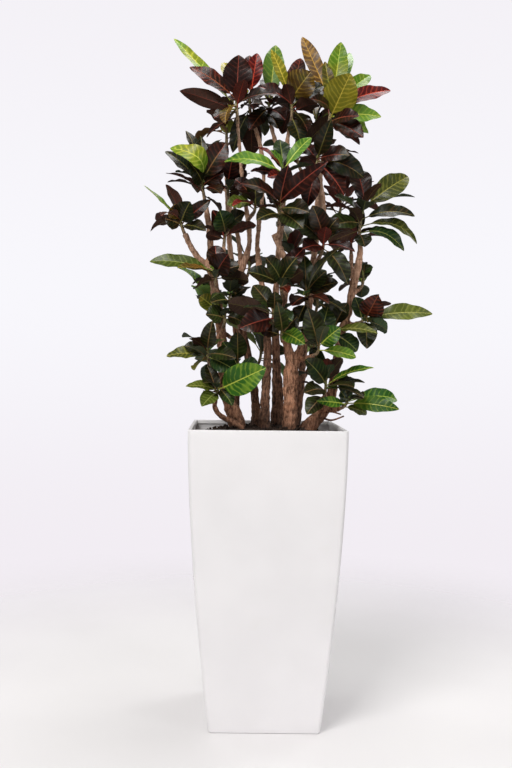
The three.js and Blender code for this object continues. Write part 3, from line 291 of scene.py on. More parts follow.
# Leafy shoots: name, the limb whose end carries it, its growing tip, how many further
# leaves a rule adds behind, and the leaves that show, oldest first. A leaf has the x and z
# of its tip, its depth from the growing tip, its width, how far its upper face turns to
# the front (1) or away (-1), its tone, and its arch where that is not the usual one.
# Tones: G green, Y yellow-green, B bronze, D dark maroon, R red, K dark green, O olive.
SHOOTS = [
    ["shoot_01", "tall", [-88, 1662, -40], 1, [
      [-146, 1602, -66, 40, 0.35, "D"], [-240, 1674, -20, 46, -0.7, "D", 0.2],
      [-257, 1814, 20, 36, 0.4, "Y", 0.02], [-116, 1578, -92, 38, -0.5, "B"],
      [22, 1668, -30, 54, 0.5, "D"], [-82, 1771, -30, 78, 0.97, "D", 0.04],
      [-214, 1737, -6, 48, 0.7, "R"], [-122, 1750, 48, 40, 0.5, "Y"]]],
    ["shoot_02", "middle", [-46, 1676, 52], 3, [
      [-92, 1568, -10, 56, 0.4, "D"], [-6, 1572, 16, 52, 0.4, "K"], [-115, 1650, 0, 50, 0.5, "D"],
      [-53, 1770, 20, 46, 0.85, "R"], [-33, 1776, -26, 46, 0.9, "R"]]],
    ["shoot_03", "dark_fork", [2, 1652, 46], 2, [
      [-42, 1642, -80, 56, 0.6, "D"], [42, 1602, -92, 50, 0.6, "D"], [-48, 1575, -60, 50, 0.5, "D"],
      [10, 1735, 40, 56, 0.7, "D"], [14, 1814, -16, 70, 0.93, "G", 0.05]]],
    ["shoot_04", "dark", [57, 1660, 0], 1, [
      [130, 1640, -56, 52, -0.45, "D"], [98, 1574, -80, 54, 0.5, "D"], [34, 1566, 30, 56, 0.4, "D"],
      [148, 1692, -20, 60, 0.6, "D"], [-25, 1690, -30, 54, 0.6, "D"],
      [86, 1757, 46, 50, 0.6, "R"], [112, 1728, -40, 84, 0.85, "B"],
      [4, 1786, -30, 32, 0.7, "Y", 0.05]]],
    ["shoot_05", "front_right", [171, 1656, -4], 1, [
      [253, 1550, -44, 58, 0.75, "D"], [218, 1725, -60, 90, 0.97, "Y", 0.03],
      [302, 1610, -10, 54, 0.75, "G"], [268, 1566, 16, 48, 0.6, "Y"],
      [95, 1640, -40, 44, 0.5, "D"], [317, 1668, 30, 48, 0.75, "R"], [274, 1724, 40, 44, 0.8, "Y"],
      [86, 1831, 48, 44, 0.93, "B", 0.02], [191, 1808, 30, 56, 0.85, "Y", 0.04],
      [216, 1784, 84, 50, 0.6, "G"]]],
    ["shoot_06", "left", [-181, 1444, -20], 2, [
      [-275, 1454, -46, 40, 0.12, "D"], [-268, 1440, -14, 36, 0.1, "D"],
      [-125, 1400, -90, 46, 0.5, "D"], [-277, 1512, -10, 48, 0.5, "D"],
      [-118, 1478, -70, 56, 0.7, "D"], [-213, 1484, -84, 60, 0.8, "D"],
      [-113, 1537, -30, 64, 0.9, "D"], [-222, 1568, 30, 42, 0.15, "D"],
      [-264, 1520, -50, 56, 0.7, "Y", 0.55]]],
    ["shoot_07", "tall_fork", [-106, 1438, 28], 2, [
      [-60, 1440, -90, 46, -0.5, "D"], [-158, 1436, -86, 42, -0.6, "D"],
      [-60, 1500, -20, 50, 0.6, "D"], [-95, 1500, -30, 54, 0.7, "D"]]],
    ["shoot_08", "dark_a", [40, 1474, -88], 1, [
      [88, 1420, -40, 44, 0.5, "D"], [-2, 1446, -54, 30, 0.8, "R"],
      [-118, 1486, -6, 50, 0.55, "G", 0.16], [5, 1518, -40, 32, 0.5, "G"],
      [115, 1553, 0, 36, 0.6, "G"], [30, 1545, 30, 44, 0.6, "K"]]],
    ["shoot_09", "front_a", [32, 1384, -108], 1, [
      [-30, 1330, -62, 50, 0.6, "D"], [96, 1310, -62, 60, 0.75, "K"],
      [108, 1352, -50, 58, 0.7, "D"], [52, 1474, 10, 60, 0.85, "D"],
      [-75, 1427, -36, 54, 0.5, "D", 0.16], [150, 1472, -44, 56, 0.7, "D", 0.14]]],
    ["shoot_10", "tall_c", [-33, 1382, -68], 1, [
      [-98, 1352, -50, 34, 0.15, "R"], [-110, 1372, -34, 46, 0.6, "O"],
      [-88, 1440, -10, 50, 0.6, "D"]]],
    ["shoot_11", "left_fork", [-234, 1330, -34], 2, [
      [-316, 1302, -20, 38, -0.3, "D", 0.28], [-165, 1300, -60, 44, 0.6, "D"],
      [-272, 1346, -58, 52, 0.6, "D"], [-165, 1368, 8, 44, 0.6, "D"],
      [-208, 1379, -54, 62, 0.88, "D"], [-333, 1421, 12, 26, 0.2, "G", 0.02],
      [-250, 1372, -20, 56, 0.8, "B"]]],
    ["shoot_12", "left_d", [-113, 1306, -48], 1, [
      [-187, 1284, -30, 36, -0.5, "D"], [-30, 1318, -30, 46, -0.3, "D"],
      [-195, 1330, -30, 52, 0.7, "D"], [-130, 1356, -60, 60, 0.75, "K"],
      [-60, 1350, -40, 52, 0.6, "D"]]],
    ["shoot_13", "front_d", [132, 1500, -76], 1, [
      [205, 1400, -50, 56, 0.5, "D"], [70, 1405, -40, 52, -0.5, "D"],
      [256, 1448, -24, 66, 0.75, "D", 0.22], [92, 1545, -10, 42, 0.5, "D"],
      [215, 1500, -40, 56, 0.7, "D"], [148, 1575, 0, 52, 0.6, "D"],
      [243, 1512, 30, 36, 0.12, "D"]]],
    ["shoot_14", "right", [264, 1386, -10], 2, [
      [368, 1252, -30, 46, 0.5, "K", 0.24], [165, 1272, -50, 62, -0.8, "D"],
      [402, 1271, 4, 46, 0.5, "O", 0.24], [160, 1312, -56, 60, 0.6, "K"],
      [396, 1346, -20, 52, 0.55, "D", 0.16], [178, 1398, -30, 46, 0.4, "K"],
      [262, 1385, -92, 46, 0.7, "K"], [397, 1397, 24, 40, 0.12, "K"],
      [376, 1452, 0, 64, 0.8, "O"], [236, 1470, 34, 60, 0.6, "D"]]],
    ["shoot_15", "front_e", [150, 1288, -84], 1, [
      [218, 1162, -50, 52, 0.6, "K", 0.18], [95, 1255, -56, 56, 0.6, "D"],
      [236, 1248, -40, 50, 0.4, "D"], [66, 1340, -36, 58, 0.7, "K"],
      [120, 1372, -40, 56, 0.7, "D"], [190, 1340, -20, 50, 0.6, "D"]]],
    ["shoot_16", "left_c", [-134, 1196, -66], 1, [
      [-192, 1146, -66, 46, -0.5, "D"], [-50, 1172, -46, 50, -0.6, "D"],
      [-200, 1157, -20, 32, 0.15, "D"], [-240, 1196, -46, 40, 0.4, "B"],
      [-72, 1208, -50, 52, 0.7, "D"], [-104, 1240, -66, 66, 0.85, "D"],
      [-316, 1217, -10, 46, 0.6, "O"], [-140, 1262, 10, 50, 0.6, "D"]]],
    ["shoot_17", "front_b", [38, 1178, -116], 1, [
      [58, 1136, -66, 30, 0.5, "R"], [96, 1196, -40, 48, -0.7, "D"],
      [-52, 1192, -20, 52, 0.6, "D"], [-4, 1230, -54, 52, 0.65, "K"],
      [80, 1232, -40, 54, 0.65, "D"], [100, 1262, 10, 44, 0.5, "D"]]],
    ["shoot_18", "middle_a", [20, 1094, -92], 1, [
      [-72, 1040, -40, 68, 0.75, "D"], [70, 1062, -56, 50, 0.6, "K"],
      [-106, 1108, -24, 52, -0.8, "D"], [-34, 1172, -30, 60, 0.8, "K"],
      [30, 1162, -50, 48, 0.7, "K"]]],
    ["shoot_19", "tall_a", [-98, 1140, -56], 1, [
      [-150, 1108, -50, 46, 0.6, "K"], [-40, 1120, -50, 44, 0.6, "D"],
      [-96, 1172, -86, 42, 0.5, "K"], [-60, 1200, 0, 50, 0.6, "D"]]],
    ["shoot_20", "left_b", [-112, 1086, -66], 1, [
      [-162, 1078, -66, 62, 0.75, "K"], [-62, 1056, -56, 48, 0.6, "K"],
      [-175, 1128, -30, 48, 0.6, "B"]]],
    ["shoot_21", "front_f", [105, 1146, -86], 1, [
      [162, 1104, -66, 34, 0.6, "R"], [60, 1098, -60, 48, 0.6, "D"],
      [216, 1084, -30, 44, 0.35, "D"], [192, 1166, -30, 54, 0.6, "D"],
      [166, 1200, -40, 52, 0.7, "K"], [64, 1212, -10, 50, 0.6, "D"]]],
    ["shoot_22", "right_c", [270, 1076, -32], 1, [
      [326, 1038, -50, 46, -0.6, "K"], [262, 986, -20, 56, 0.6, "K"],
      [448, 1084, 0, 50, 0.65, "O"], [300, 1134, -62, 66, 0.92, "R"],
      [336, 1110, 34, 34, -0.4, "D"]]],
    ["shoot_23", "right_d", [258, 1190, 20], 1, [
      [262, 1124, -50, 52, 0.7, "K"], [205, 1150, -60, 44, 0.5, "D"],
      [240, 1210, -50, 44, 0.5, "D"], [274, 1216, 10, 44, 0.3, "K"]]],
    ["shoot_24", "front_g", [138, 1012, -96], 1, [
      [243, 965, -10, 36, 0.6, "G"], [110, 1098, -46, 60, 0.85, "K"],
      [200, 1046, -40, 56, 0.75, "G"], [168, 1100, 0, 60, 0.7, "K"],
      [84, 1040, -60, 44, 0.6, "K"]]],
    ["shoot_25", "front_c", [43, 1042, -112], 0, [
      [104, 1000, -40, 44, 0.8, "G"], [20, 1100, -50, 44, 0.6, "K"],
      [-20, 1030, -30, 44, 0.6, "D"]]],
    ["shoot_26", "right_e", [186, 1052, -64], 1, [
      [292, 1026, -30, 38, 0.4, "O"], [142, 1006, -30, 44, 0.5, "D"],
      [228, 1110, -50, 46, 0.5, "K"]]],
    ["shoot_27", "right_a", [162, 906, -64], 1, [
      [104, 868, -70, 48, 0.6, "K"], [236, 889, -50, 34, 0.4, "K"],
      [268, 897, -10, 38, 0.3, "D"], [298, 932, -14, 38, 0.5, "G"],
      [106, 958, -50, 58, 0.7, "K"], [168, 968, -56, 44, -0.7, "R"],
      [204, 964, 10, 46, -0.6, "D"], [124, 985, 0, 46, 0.6, "K"]]],
    ["shoot_28", "right_b", [222, 850, -50], 1, [
      [116, 852, -50, 34, 0.6, "G"], [362, 826, -60, 44, 0.7, "G"],
      [262, 852, -90, 54, 0.5, "K"], [356, 850, 40, 46, 0.65, "G", 0.2],
      [210, 930, -30, 46, 0.5, "K"]]],
    ["shoot_29", "left_a", [-157, 982, -52], 1, [
      [-192, 926, -56, 42, -0.4, "B"], [-82, 926, -50, 58, 0.7, "K"],
      [-269, 963, -10, 44, 0.5, "O"], [-84, 962, -40, 46, 0.65, "K"],
      [-222, 994, 20, 42, 0.5, "K"], [-206, 1014, -66, 42, -0.3, "D"],
      [-141, 1066, 0, 50, 0.75, "K"]]],
    ["shoot_30", "low", [-127, 882, -84], 1, [
      [-172, 828, -60, 46, 0.6, "O"], [-217, 882, -30, 34, 0.5, "O"],
      [4, 938, -10, 80, 0.92, "G"], [-92, 830, -66, 40, 0.5, "K"]]],
    ["shoot_31", "tall_b", [-76, 954, -14], 1, [
      [-20, 930, -30, 62, 0.75, "K"], [-120, 1000, 20, 46, 0.6, "K"],
      [-78, 1030, -30, 50, 0.6, "K"]]],
    ["shoot_32", "right_f", [224, 1296, 56], 3, [
      [190, 1220, -50, 46, 0.5, "D"], [250, 1370, -20, 50, 0.6, "D"]]],
]

# Where the background shows beside the crown and between stems, as seen from the front:
# lowest and highest x, then lowest and highest z. Leaves set by rule stay out of these.
GAPS = [
    [-420, -160, 1575, 1645], [-420, -270, 1530, 1860], [-420, -345, 1200, 1860],
    [-420, -225, 1230, 1290], [-420, -205, 1095, 1190], [-420, -165, 1030, 1095],
    [-420, -230, 985, 1060], [-420, -215, 840, 940], [-420, -150, 700, 815],
    [-420, 520, 1830, 2000], [260, 520, 1460, 1600], [275, 520, 1140, 1240],
    [345, 520, 1120, 1250], [340, 520, 870, 1060], [305, 520, 900, 1020], [200, 520, 700, 810],
    [-210, -170, 1250, 1300], [-150, -125, 1235, 1285], [-115, -80, 1215, 1285],
    [-70, -30, 1235, 1295], [-10, 20, 1240, 1325], [-45, -15, 945, 1015],
    [-100, -85, 970, 1060], [145, 185, 980, 1010], [160, 205, 1120, 1165],
    [25, 35, 1515, 1550], [55, 80, 1530, 1545], [90, 115, 1555, 1590],
]

# Where a leaf is probed for them: shares of its length and of its half width.
GAP_PROBES = [[0.35, 0], [0.6, -1], [0.6, 1], [0.8, 0], [1, 0]]

# Leaves between the larger ones, which the solids leave out: shoot, where the leaf is
# rooted on it (0 to 1), the x and z of its tip, its depth from the growing tip, its width,
# how far its upper face turns to the front, and its tone.
INNER_LEAVES = [
    ["shoot_02", 0.15, -46, 1512, -20, 58, 0.5, "D"],
    ["shoot_02", 0.3, -98, 1514, -10, 46, 0.5, "D"], ["shoot_02", 0.3, 6, 1512, 0, 48, 0.5, "D"],
    ["shoot_02", 0.5, -40, 1636, -70, 44, 0.6, "D"],
    ["shoot_04", 0.12, 86, 1538, -20, 54, 0.5, "D"],
    ["shoot_04", 0.5, 136, 1662, -30, 44, 0.6, "D"],
    ["shoot_05", 0.08, 246, 1536, -20, 44, 0.5, "D"],
    ["shoot_05", 0.2, 242, 1592, -34, 46, 0.8, "D"],
    ["shoot_05", 0.7, 148, 1756, -20, 32, 0.8, "B"], ["shoot_05", 0.3, 140, 1690, 40, 46, 0.5, "D"],
    ["shoot_05", 0.1, 146, 1528, -30, 46, -0.4, "O"],
    ["shoot_01", 0.15, -166, 1550, 10, 38, 0.4, "D"],
    ["shoot_01", 0.5, -122, 1612, -60, 34, 0.3, "O"],
    ["shoot_06", 0.2, -130, 1346, 0, 48, 0.5, "D"], ["shoot_06", 0.5, -176, 1548, 20, 40, 0.5, "D"],
    ["shoot_08", 0.3, 18, 1392, 20, 42, 0.5, "D"], ["shoot_08", 0.4, -48, 1462, 30, 46, 0.5, "D"],
    ["shoot_13", 0.15, 106, 1366, 10, 50, 0.5, "D"],
    ["shoot_13", 0.3, 70, 1405, -20, 50, -0.4, "D"], ["shoot_19", 0.4, -30, 1178, 0, 50, 0.6, "D"],
    ["shoot_19", 0.7, -62, 1200, 10, 46, 0.6, "K"],
    ["shoot_20", 0.6, -172, 1124, -20, 44, 0.6, "B"],
    ["shoot_21", 0.5, 100, 1238, 10, 46, 0.6, "K"], ["shoot_21", 0.6, 174, 1236, -10, 44, 0.5, "D"],
    ["shoot_21", 0.2, 84, 1058, 0, 46, 0.5, "D"], ["shoot_25", 0.5, 88, 1098, 10, 52, 0.6, "K"],
    ["shoot_25", 0.7, 18, 1100, -40, 44, 0.6, "K"], ["shoot_25", 0.4, -18, 1032, -20, 40, 0.6, "D"],
    ["shoot_26", 0.3, 246, 982, -10, 52, 0.6, "K"], ["shoot_22", 0.4, 236, 1126, 0, 44, 0.6, "K"],
    ["shoot_27", 0.1, 112, 810, -10, 50, 0.5, "K"], ["shoot_27", 0.5, 262, 868, 10, 38, 0.5, "K"],
    ["shoot_28", 0.3, 274, 812, 0, 36, 0.5, "O"], ["shoot_28", 0.8, 208, 930, -20, 44, 0.5, "K"],
    ["shoot_30", 0.4, -160, 942, 0, 38, 0.5, "K"], ["shoot_31", 0.5, -118, 998, 10, 42, 0.6, "K"],
    ["shoot_31", 0.3, -24, 880, 20, 46, 0.5, "K"], ["shoot_29", 0.3, -150, 888, 20, 40, 0.5, "K"],
    ["shoot_23", 0.6, 262, 1216, 10, 40, 0.3, "K"], ["shoot_14", 0.2, 262, 1262, -20, 50, 0.5, "K"],
    ["shoot_02", 0.6, -72, 1628, 20, 44, 0.4, "D"], ["shoot_02", 0.4, -12, 1624, 34, 44, 0.4, "D"],
    ["shoot_02", 0.2, -28, 1556, -40, 50, 0.5, "D"],
    ["shoot_02", 0.25, -78, 1548, -30, 46, 0.5, "K"], ["shoot_03", 0.3, 24, 1560, 20, 46, 0.5, "D"],
    ["shoot_03", 0.5, -20, 1604, -30, 46, 0.5, "K"], ["shoot_04", 0.3, 70, 1604, 30, 46, 0.5, "D"],
    ["shoot_10", 0.5, -36, 1440, 0, 44, 0.6, "D"], ["shoot_12", 0.4, -150, 1350, 10, 46, 0.6, "D"],
]
INNER_COUNT = 3
INNER_RISE = 34
INNER_RISE_SPREAD = 46
INNER_LENGTH = 82
INNER_LENGTH_SPREAD = 0.3
INNER_FIRST_ROOT = 0.25
INNER_ROOT_SPAN = 0.7


def unit(vector):
    return vector / np.linalg.norm(vector, axis=-1, keepdims=True)


def between(start, end, share):
    return start + (end - start) * share


def seen(x, z, depth):
    """The point that shows at x and z, at a depth along the camera's line of sight."""
    return EYE + (np.array([x, 0.0, z]) - EYE) * (1 + depth / -EYE[1])


def draws(seed):
    """Park-Miller draws between 0 and 1, the same for a given seed."""
    state = (seed * SEED_FACTOR + SEED_SHIFT) % DRAW_MODULUS

    def draw():
        nonlocal state
        state = state * DRAW_FACTOR % DRAW_MODULUS
        return state / DRAW_MODULUS

    return draw


def station(place, way, radius):
    return SimpleNamespace(place=place, way=way, radius=radius)


def curve_point(path, span, t):
    """A smooth curve through points of x, y, z and radius (uniform Catmull-Rom)."""
    before = path[span - 1] if span > 0 else 2 * path[0] - path[1]
    after = path[span + 2] if span + 2 < len(path) else 2 * path[-1] - path[-2]
    p, q, r, s = before, path[span], path[span + 1], after
    bend = 2 * p - 5 * q + 4 * r - s
    turn = 3 * q - p - 3 * r + s
    value = 0.5 * (2 * q + (r - p) * t + bend * t * t + turn * t * t * t)
    slope = 0.5 * ((r - p) + 2 * bend * t + 3 * turn * t * t)
    return station(value[:3], unit(slope[:3]), value[3])


def follow_curve(path, step):
    stations = []
    for span in range(len(path) - 1):
        length = np.linalg.norm(path[span + 1][:3] - path[span][:3])
        parts = max(1, math.floor(length / step + 0.5))
        stations += [curve_point(path, span, k / parts) for k in range(parts)]
    stations.append(curve_point(path, len(path) - 2, 1))
    return stations


def rings_along(stations, sides, radii=None):
    """Rings across a curve, each turned as little as possible from the one before."""
    way = stations[0].way
    across = np.array([1.0, 0, 0]) if abs(way[0]) < 0.8 else np.array([0, 1.0, 0])
    angles = 2 * math.pi * np.arange(sides) / sides
    rings = []
    for i, at in enumerate(stations):
        across = unit(across - at.way * np.dot(across, at.way))
        other = np.cross(at.way, across)
        radius = np.full(sides, at.radius) if radii is None else radii[i]
        rings.append(at.place
                     + across * (radius * np.cos(angles))[:, None]
                     + other * (radius * np.sin(angles))[:, None])
    return np.array(rings)


def stem_names(limbs):
    return list(dict.fromkeys(limb.stem for limb in limbs))


def limb_path(points):
    return [np.append(seen(x, z, depth), radius) for x, z, depth, radius in points]


def back_limbs():
    """Side limbs of a stem at the back, spread round it by the golden ratio."""
    limbs = []
    for stem, main, heights, phase in BACK_LIMBS:
        points = next(points for _, limb, points in LIMBS if limb == main)
        trunk = follow_curve(limb_path(points), SAMPLE)
        for i, height in enumerate(heights):
            foot = next(at for at in trunk if at.place[2] >= height)
            share = (i * GOLDEN_SHARE + phase) % 1
            heading = math.pi / 2 + (share - 0.5) * BACK_SPREAD
            out = np.array([math.cos(heading), math.sin(heading), 0.0])
            middle_reach, middle_rise = BACK_REACH * BACK_MIDDLE_REACH, BACK_RISE * BACK_MIDDLE_RISE
            path = [
                np.append(foot.place + out * reach + UP * rise, radius)
                for reach, rise, radius in (
                    (0, 0, foot.radius * BACK_ROOT_SHARE),
                    (middle_reach, middle_rise, BACK_MIDDLE_RADIUS),
                    (BACK_REACH, BACK_RISE, BACK_END_RADIUS),
                )
            ]
            limbs.append(SimpleNamespace(stem=stem, limb=f"{main}_{i + 1}", path=path, out=out))
    return limbs


class Space:
    """Cells that hold one owner's samples, and the cells round them as far as reach.

    A cell is known by one number, made of its three places in the grid.
    """

    SHARED = -1

    def __init__(self, reach=1):
        steps = np.arange(-reach, reach + 1)
        x, y, z = np.meshgrid(steps, steps, steps, indexing="ij")
        self.around = self.number(x, y, z).ravel()
        self.cells = {}
        self.filled = set()

    @staticmethod
    def number(x, y, z):
        return (x * CELLS_ACROSS + y) * CELLS_ACROSS + z

    def keys(self, points):
        cells = np.floor(points / CELL).astype(np.int64) + CELLS_ACROSS // 2
        return self.number(*cells.T)

    def add(self, samples, owner, outer=()):
        if len(outer):
            self.filled.update(self.keys(outer).tolist())
        for key in np.unique(np.unique(self.keys(samples))[:, None] + self.around).tolist():
            held = self.cells.get(key)
            self.cells[key] = owner if held is None or held == owner else self.SHARED

    def is_free(self, samples, owner, outer):
        if len(outer) and not self.filled.isdisjoint(self.keys(outer).tolist()):
            return False
        reach = np.maximum(np.abs(samples[:, 0]), np.abs(samples[:, 1]))
        if np.any((samples[:, 2] < PLANTER_HEIGHT + CELL) & (reach < RIM_WIDTH / 2 + CELL)):
            return False
        return all(self.cells.get(key, owner) == owner for key in set(self.keys(samples).tolist()))


def along_blade(u):
    """The share of the blade's length at a share u of the leaf's."""
    return (u - PETIOLE_SHARE) / (1 - PETIOLE_SHARE)


def blade_half(leaf, u):
    """Half the width at a share u of the leaf's length: first the stalk, then the blade."""
    t = along_blade(np.asarray(u, float))
    inside = np.maximum(t, 0)
    outline = inside ** ROOT_POWER * np.maximum(1 - inside, 0) ** TIP_POWER
    top = ROOT_POWER / (ROOT_POWER + TIP_POWER)
    widest = top ** ROOT_POWER * (1 - top) ** TIP_POWER
    blade = np.maximum(PETIOLE_RADIUS * (1 - t), (leaf.width / 2) * outline / widest)
    return np.where(t <= 0, PETIOLE_RADIUS, blade)


def make_leaf(root, tip, width, turn, arch, twist, phase, tone):
    """A leaf whose upper face looks up at turn 0, to the front at 1 and away at -1."""
    axis = tip - root
    length = float(np.linalg.norm(axis))
    axis = axis / length
    face = UP * (1 - abs(turn)) + TOWARD_EYE * turn
    face = face - axis * np.dot(face, axis)
    if np.linalg.norm(face) < FLATTEST_FACE:
        face = np.array([-axis[1], axis[0], 0.0])
    return SimpleNamespace(root=root, axis=axis, length=length, face=unit(face), width=width,
                           arch=arch, twist=twist, phase=phase, tone=tone)


def leaf_frame(leaf, u):
    """The leaf's side and normal at u, arched along the midrib and twisted about it."""
    slope = 4 * leaf.arch * (1 - 2 * u)
    way = unit(leaf.axis + leaf.face * slope[:, None])
    normal = unit(leaf.face - leaf.axis * slope[:, None])
    side = np.cross(normal, way)
    angle = leaf.twist * (u - 0.5)
    cos, sin = np.cos(angle)[:, None], np.sin(angle)[:, None]
    return side * cos + normal * sin, normal * cos - side * sin


def leaf_points(leaf, u, v, lift=0.0, fold_power=1.0, half=None):
    """Points at u along the leaf and v across it (-1 to 1), folded, waved and lifted."""
    u = np.asarray(u, float)
    v = np.asarray(v, float)
    side, normal = leaf_frame(leaf, u)
    if half is None:
        half = blade_half(leaf, u)
    share = np.minimum(half / WAVE_HALF_WIDTH, WAVE_LIMIT)
    turn = WAVE_TURNS * u + leaf.phase + np.where(v > 0, 0.0, WAVE_OFFSET)
    wave = WAVE_HEIGHT * np.sin(turn) * share * v * v
    height = BLADE_FOLD * np.abs(v) ** fold_power * half + wave + lift
    return (leaf.root
            + leaf.axis * (leaf.length * u)[:, None]
            + leaf.face * (4 * leaf.arch * leaf.length * u * (1 - u))[:, None]
            + side * (v * half)[:, None]
            + normal * height[:, None])


def leaf_samples(leaf, free):
    """Points all over a leaf, from the length called free on."""
    rows = math.ceil(leaf.length / SAMPLE)
    shares = np.arange(rows + 1) / rows
    shares = shares[shares * leaf.length >= free]
    if not len(shares):
        return np.empty((0, 3))
    columns = np.maximum(1, np.ceil(blade_half(leaf, shares) / SAMPLE).astype(int))
    u = np.concatenate([np.full(2 * n + 1, share) for share, n in zip(shares, columns)])
    v = np.concatenate([np.arange(-n, n + 1) / n for n in columns])
    return leaf_points(leaf, u, v)


def hides_gap(leaf):
    """Whether the leaf, seen by the camera, covers a place where the background shows."""
    probes = np.array(GAP_PROBES, float)
    points = leaf_points(leaf, probes[:, 0], probes[:, 1])
    share = EYE[1] / (EYE[1] - points[:, 1])
    flat = EYE + (points - EYE) * share[:, None]
    return any(
        left < x < right and low < z < high
        for x, _, z in flat
        for left, right, low, high in GAPS
    )


def place_leaf(spec, root, owner, space, seed, sideways):
    """A leaf that comes too near other stems is bent further until it is clear, or left off."""
    draw = draws(seed)
    twist = (draw() - 0.5) * BLADE_TWIST
    phase = draw() * 2 * math.pi
    for attempt in range(TRIES):
        reach = min(attempt * BEND_STEP, BEND_LIMIT)
        shift = [draw() - 0.5 for _ in range(4)]
        tip = spec.tip + np.array([
            shift[0] * reach * sideways,
            shift[1] * reach * DEPTH_BEND,
            shift[2] * reach * sideways,
        ])
        if attempt > TRIES / 2:
            tip = tip + (root - tip) * SHORTER
        width = spec.width * (NARROWER if attempt > TRIES / 3 else 1)
        turn = min(max(spec.turn + shift[3] * attempt * TURN_BEND, -1), 1)
        leaf = make_leaf(root, tip, width, turn, spec.arch, twist, phase, spec.tone)
        samples = leaf_samples(leaf, ROOT_FREE)
        outer = leaf_samples(leaf, OWN_FREE)
        if space.is_free(samples, owner, outer) and not (spec.behind and hides_gap(leaf)):
            space.add(samples, owner, outer)
            return leaf
    return None


def shoot_axis(limb_end, apex):
    base = limb_end.place + limb_end.way * FIT_GAP
    length = float(np.linalg.norm(apex - base))
    bend = base + limb_end.way * (length * SHOOT_BEND)
    return SimpleNamespace(base=base, bend=bend, apex=apex, length=length)


def on_shoot(axis, t):
    place = axis.base * (1 - t) ** 2 + axis.bend * (2 * t * (1 - t)) + axis.apex * (t * t)
    way = unit((axis.bend - axis.base) * (1 - t) + (axis.apex - axis.bend) * t)
    return station(place, way, between(SHOOT_BASE_RADIUS, SHOOT_TIP_RADIUS, t))


def shoot_stations(axis, step):
    steps = math.ceil(axis.length / step)
    return [on_shoot(axis, k / steps) for k in range(steps + 1)]


def tube_samples(stations):
    rings = []
    for at in stations:
        sides = max(4, math.ceil((2 * math.pi * at.radius) / SAMPLE))
        rings.append(rings_along([at], sides)[0])
    return np.concatenate(rings)


def tone_at(z, share):
    tones = next(tones for height, tones in RULED_TONES if z > height)
    return tones[math.floor(share * len(tones))]


def ruled_leaf(axis, t, heading, rise, length, arch, draw):
    """One leaf by rule, which stays out of the gaps."""
    out = np.array([
        math.cos(rise) * math.cos(heading),
        math.cos(rise) * math.sin(heading),
        math.sin(rise),
    ])
    root = on_shoot(axis, t).place
    return SimpleNamespace(
        t=t, tip=root + out * length, width=length * (WIDTH_SHARE + WIDTH_SPREAD * draw()),
        turn=0, arch=arch, tone=tone_at(root[2], draw()), behind=True,
    )


def ruled_leaves(axis, count, seed, sector):
    """Leaves by rule, oldest first: long and drooping below, short and upright at the tip."""
    draw = draws(seed)
    phase = draw()
    specs = []
    for i in range(count):
        age = 1 - (i + 0.5) / count
        heading = math.pi / 2 + ((i * GOLDEN_SHARE + phase) % 1 - 0.5) * sector
        rise = between(YOUNG_RISE, OLD_RISE, age) + (draw() - 0.5) * RISE_SPREAD
        length = between(YOUNG_LENGTH, OLD_LENGTH, age) * (1 + (draw() - 0.5) * LENGTH_SPREAD)
        specs.append(ruled_leaf(axis, between(YOUNGEST_ROOT, OLDEST_ROOT, age), heading,
                                math.radians(rise), length, BLADE_ARCH + OLD_ARCH * age, draw))
    return specs


def shown_leaves(axis, apex_depth, rows):
    """Leaves that show, in the order of the table: roots spread evenly up the shoot."""
    first = min(FIRST_LEAF / axis.length, FIRST_LEAF_LIMIT)
    specs = []
    for i, (x, z, dy, width, turn, tone, *arch) in enumerate(rows):
        specs.append(SimpleNamespace(
            t=first + ((LAST_LEAF_SHARE - first) * (i + 0.5)) / len(rows),
            tip=seen(x, z, apex_depth + dy), width=width, turn=turn,
            arch=arch[0] if arch else BLADE_ARCH, tone=tone, behind=False,
        ))
    return specs


def grow_leaf(shoot, spec, space, seed, sideways):
    root = on_shoot(shoot.axis, spec.t).place
    leaf = place_leaf(spec, root, shoot.owner, space, seed, sideways)
    if leaf:
        shoot.leaves.append(leaf)


def fill_space(space, limbs, shoots):
    """Takes up the room of the wood and of the stems of the shoots, but not of their leaves."""
    stems = stem_names(limbs)
    for limb in limbs:
        space.add(tube_samples(follow_curve(limb.path, SAMPLE)), stems.index(limb.stem))
    for shoot in shoots:
        space.add(tube_samples(shoot_stations(shoot.axis, SAMPLE)), shoot.owner)


